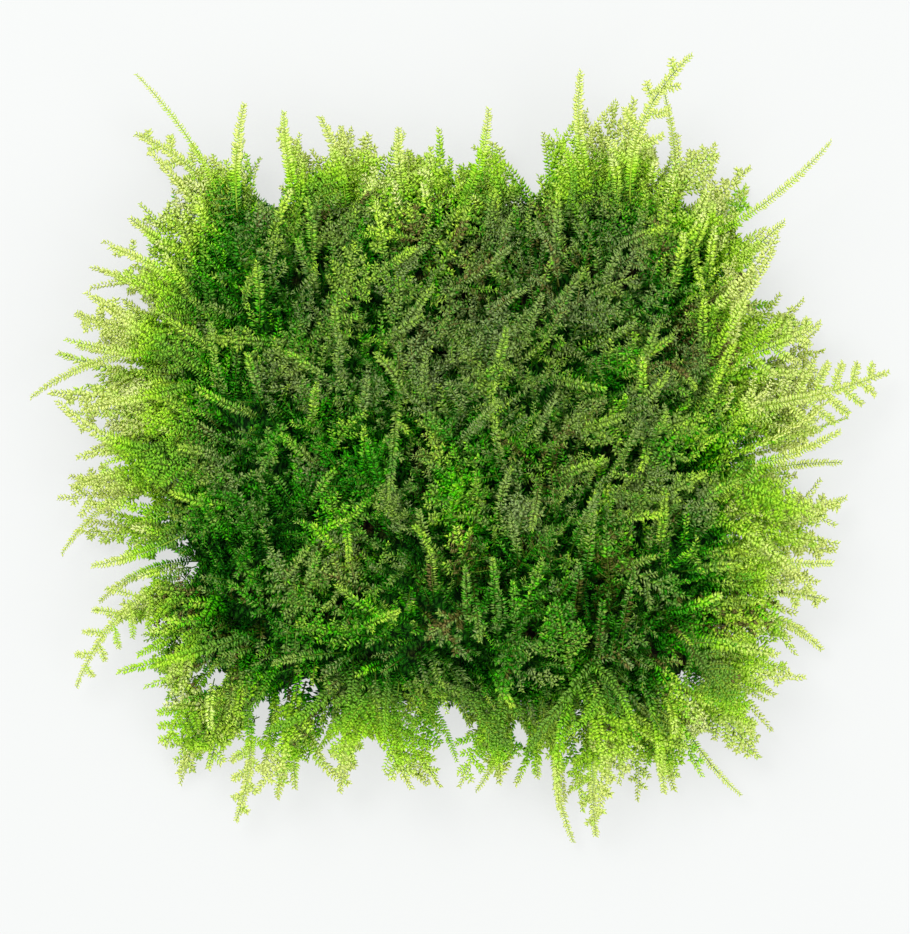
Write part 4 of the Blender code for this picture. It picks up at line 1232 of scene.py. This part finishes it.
# %% One leafy piece for each long shoot
LONG_LEAF, LONG_HUE, LONG_OPENING = 0.93, 0.06, 1.08
SLENDER = {  # the long shoots with smaller leaves, as a share of the others' leaves
    "back_shoot_1": 0.62, "right_shoot_1": 0.78, "left_shoot_5": 0.82, "left_shoot_4": 0.8,
    "left_frond_1": 0.82, "front_shoot_1": 0.7, "front_shoot_5": 0.8, "front_shoot_3": 0.8,
    "front_shoot_6": 0.75, "back_shoot_8": 0.75, "left_shoot_2": 0.85, "right_shoot_4": 0.85,
}
BOX_SLACK = 0.4


def free_share(name, curve):
    """The first share of the curve that lies inside the node's own box."""
    low, high = (np.array(corner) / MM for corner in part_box(name))
    share = np.linspace(0, 1, 200)
    spots = curve_point(*(point[None] for point in curve), share)
    inside = ((spots > low - BOX_SLACK) & (spots < high + BOX_SLACK)).all(1)
    return share[np.argmax(inside)]


for number, (name, *values) in enumerate(LONG_SHOOTS):
    foot, tip = np.array(values[:3], float), np.array(values[3:6], float)
    bow, rise, branches, reach = (values[6:] + [0, 0])[:4]
    along = tip - foot
    left = unit(np.array([-along[1], along[0], 0.0]))
    pull = (foot + tip) / 2 + left * 2 * bow + UP * 2 * rise
    start = free_share(name, (foot, pull, tip))
    fresh = 0.25 + 0.35 * (number * 7 % 10) / 10  # in turn, so that neighbours differ
    leaf = LONG_LEAF * SLENDER.get(name, 1.0)
    stem = shoot_table(foot[None], pull[None], tip[None], UP, leaf, fresh, hue=LONG_HUE,
                       opening=LONG_OPENING)
    rng = np.random.default_rng(100 + number)
    table = branched(stem, branches, reach, rng, first=start, droop=0.06, stray=0.0)
    piece = new_piece(name + "_leafy", *leafy_mesh(table, rng, fine=True), rim_leaf, "shoot_moss")
    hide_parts(name)
print("pieces:", len(made), "triangles in all:", sum(made.values()))

# %% [markdown]
# ## Floor, light and camera
#
# The clump lies on a bright white surface under very soft light from above. The floor glows more
# than it reflects: its glow is painted light that washes out the clump's shadow and shines through
# the young leaves at the rim.

# %% A white floor
def white_floor():
    """One large square just under the clump that also glows a little."""
    bpy.ops.mesh.primitive_plane_add(size=4.0, location=(0, 0, 0))
    floor = bpy.context.object
    floor.name = "white_floor"
    material, tree, face = new_material("glowing_paper")
    # most of the floor's brightness is its glow, painted light that fills the clump's shadow and
    # lights the rim's leaves from below
    feed(tree, face, {
        "Base Color": (0.09, 0.091, 0.0905), "Roughness": 0.9,
        "Emission Color": (0.985, 1, 0.985), "Emission Strength": 0.665,
    })
    floor.data.materials.append(material)


white_floor()


# %% Soft studio light
def soft_box(name, size, energy, place):
    """An area light that looks at the clump."""
    light = bpy.data.lights.new(name, "AREA")
    light.shape = "SQUARE"
    light.size, light.energy = size, energy
    lamp = bpy.data.objects.new(name, light)
    lamp.location = place
    lamp.rotation_euler = (-Vector(place)).to_track_quat("-Z", "Y").to_euler()
    bpy.context.scene.collection.objects.link(lamp)


soft_box("key_light", size=0.35, energy=5.5, place=(-0.25, 0.3, 0.6))
soft_box("fill_light", size=0.5, energy=4.5, place=(0.4, -0.3, 0.55))
world = bpy.data.worlds.new("soft_room")
world.use_nodes = True
sky = world.node_tree.nodes["Background"]
feed(world.node_tree, sky, {"Color": (0.96, 0.98, 1), "Strength": 1.45})
bpy.context.scene.world = world
bpy.context.scene.view_settings.view_transform = "Standard"

# %% [markdown]
# The photograph looks straight down from well above, so the camera has a long lens and no tilt. Its
# long side is the picture's height, 934 of 910 x 934 pixels.

# %% Camera straight above
PIXEL = 0.134  # mm of the clump in one pixel of the photograph
SENSOR, LENS = 36.0, 250.0
PICTURE_HEIGHT = 934 * PIXEL * MM
FOCUS_HEIGHT = 9 * MM  # where one pixel is 0.134 mm
MIDDLE_Y = -2.3 * MM  # the picture's middle lies a little in front of the mat's
camera_data = bpy.data.cameras.new("camera_above")
camera_data.sensor_width, camera_data.lens = SENSOR, LENS
camera_data.clip_start, camera_data.clip_end = 0.01, 10.0
camera = bpy.data.objects.new("camera_above", camera_data)
camera.location = (0.0, MIDDLE_Y, FOCUS_HEIGHT + PICTURE_HEIGHT * LENS / SENSOR)
bpy.context.scene.collection.objects.link(camera)
bpy.context.scene.camera = camera
print("camera height, mm:", round(camera.location.z / MM))
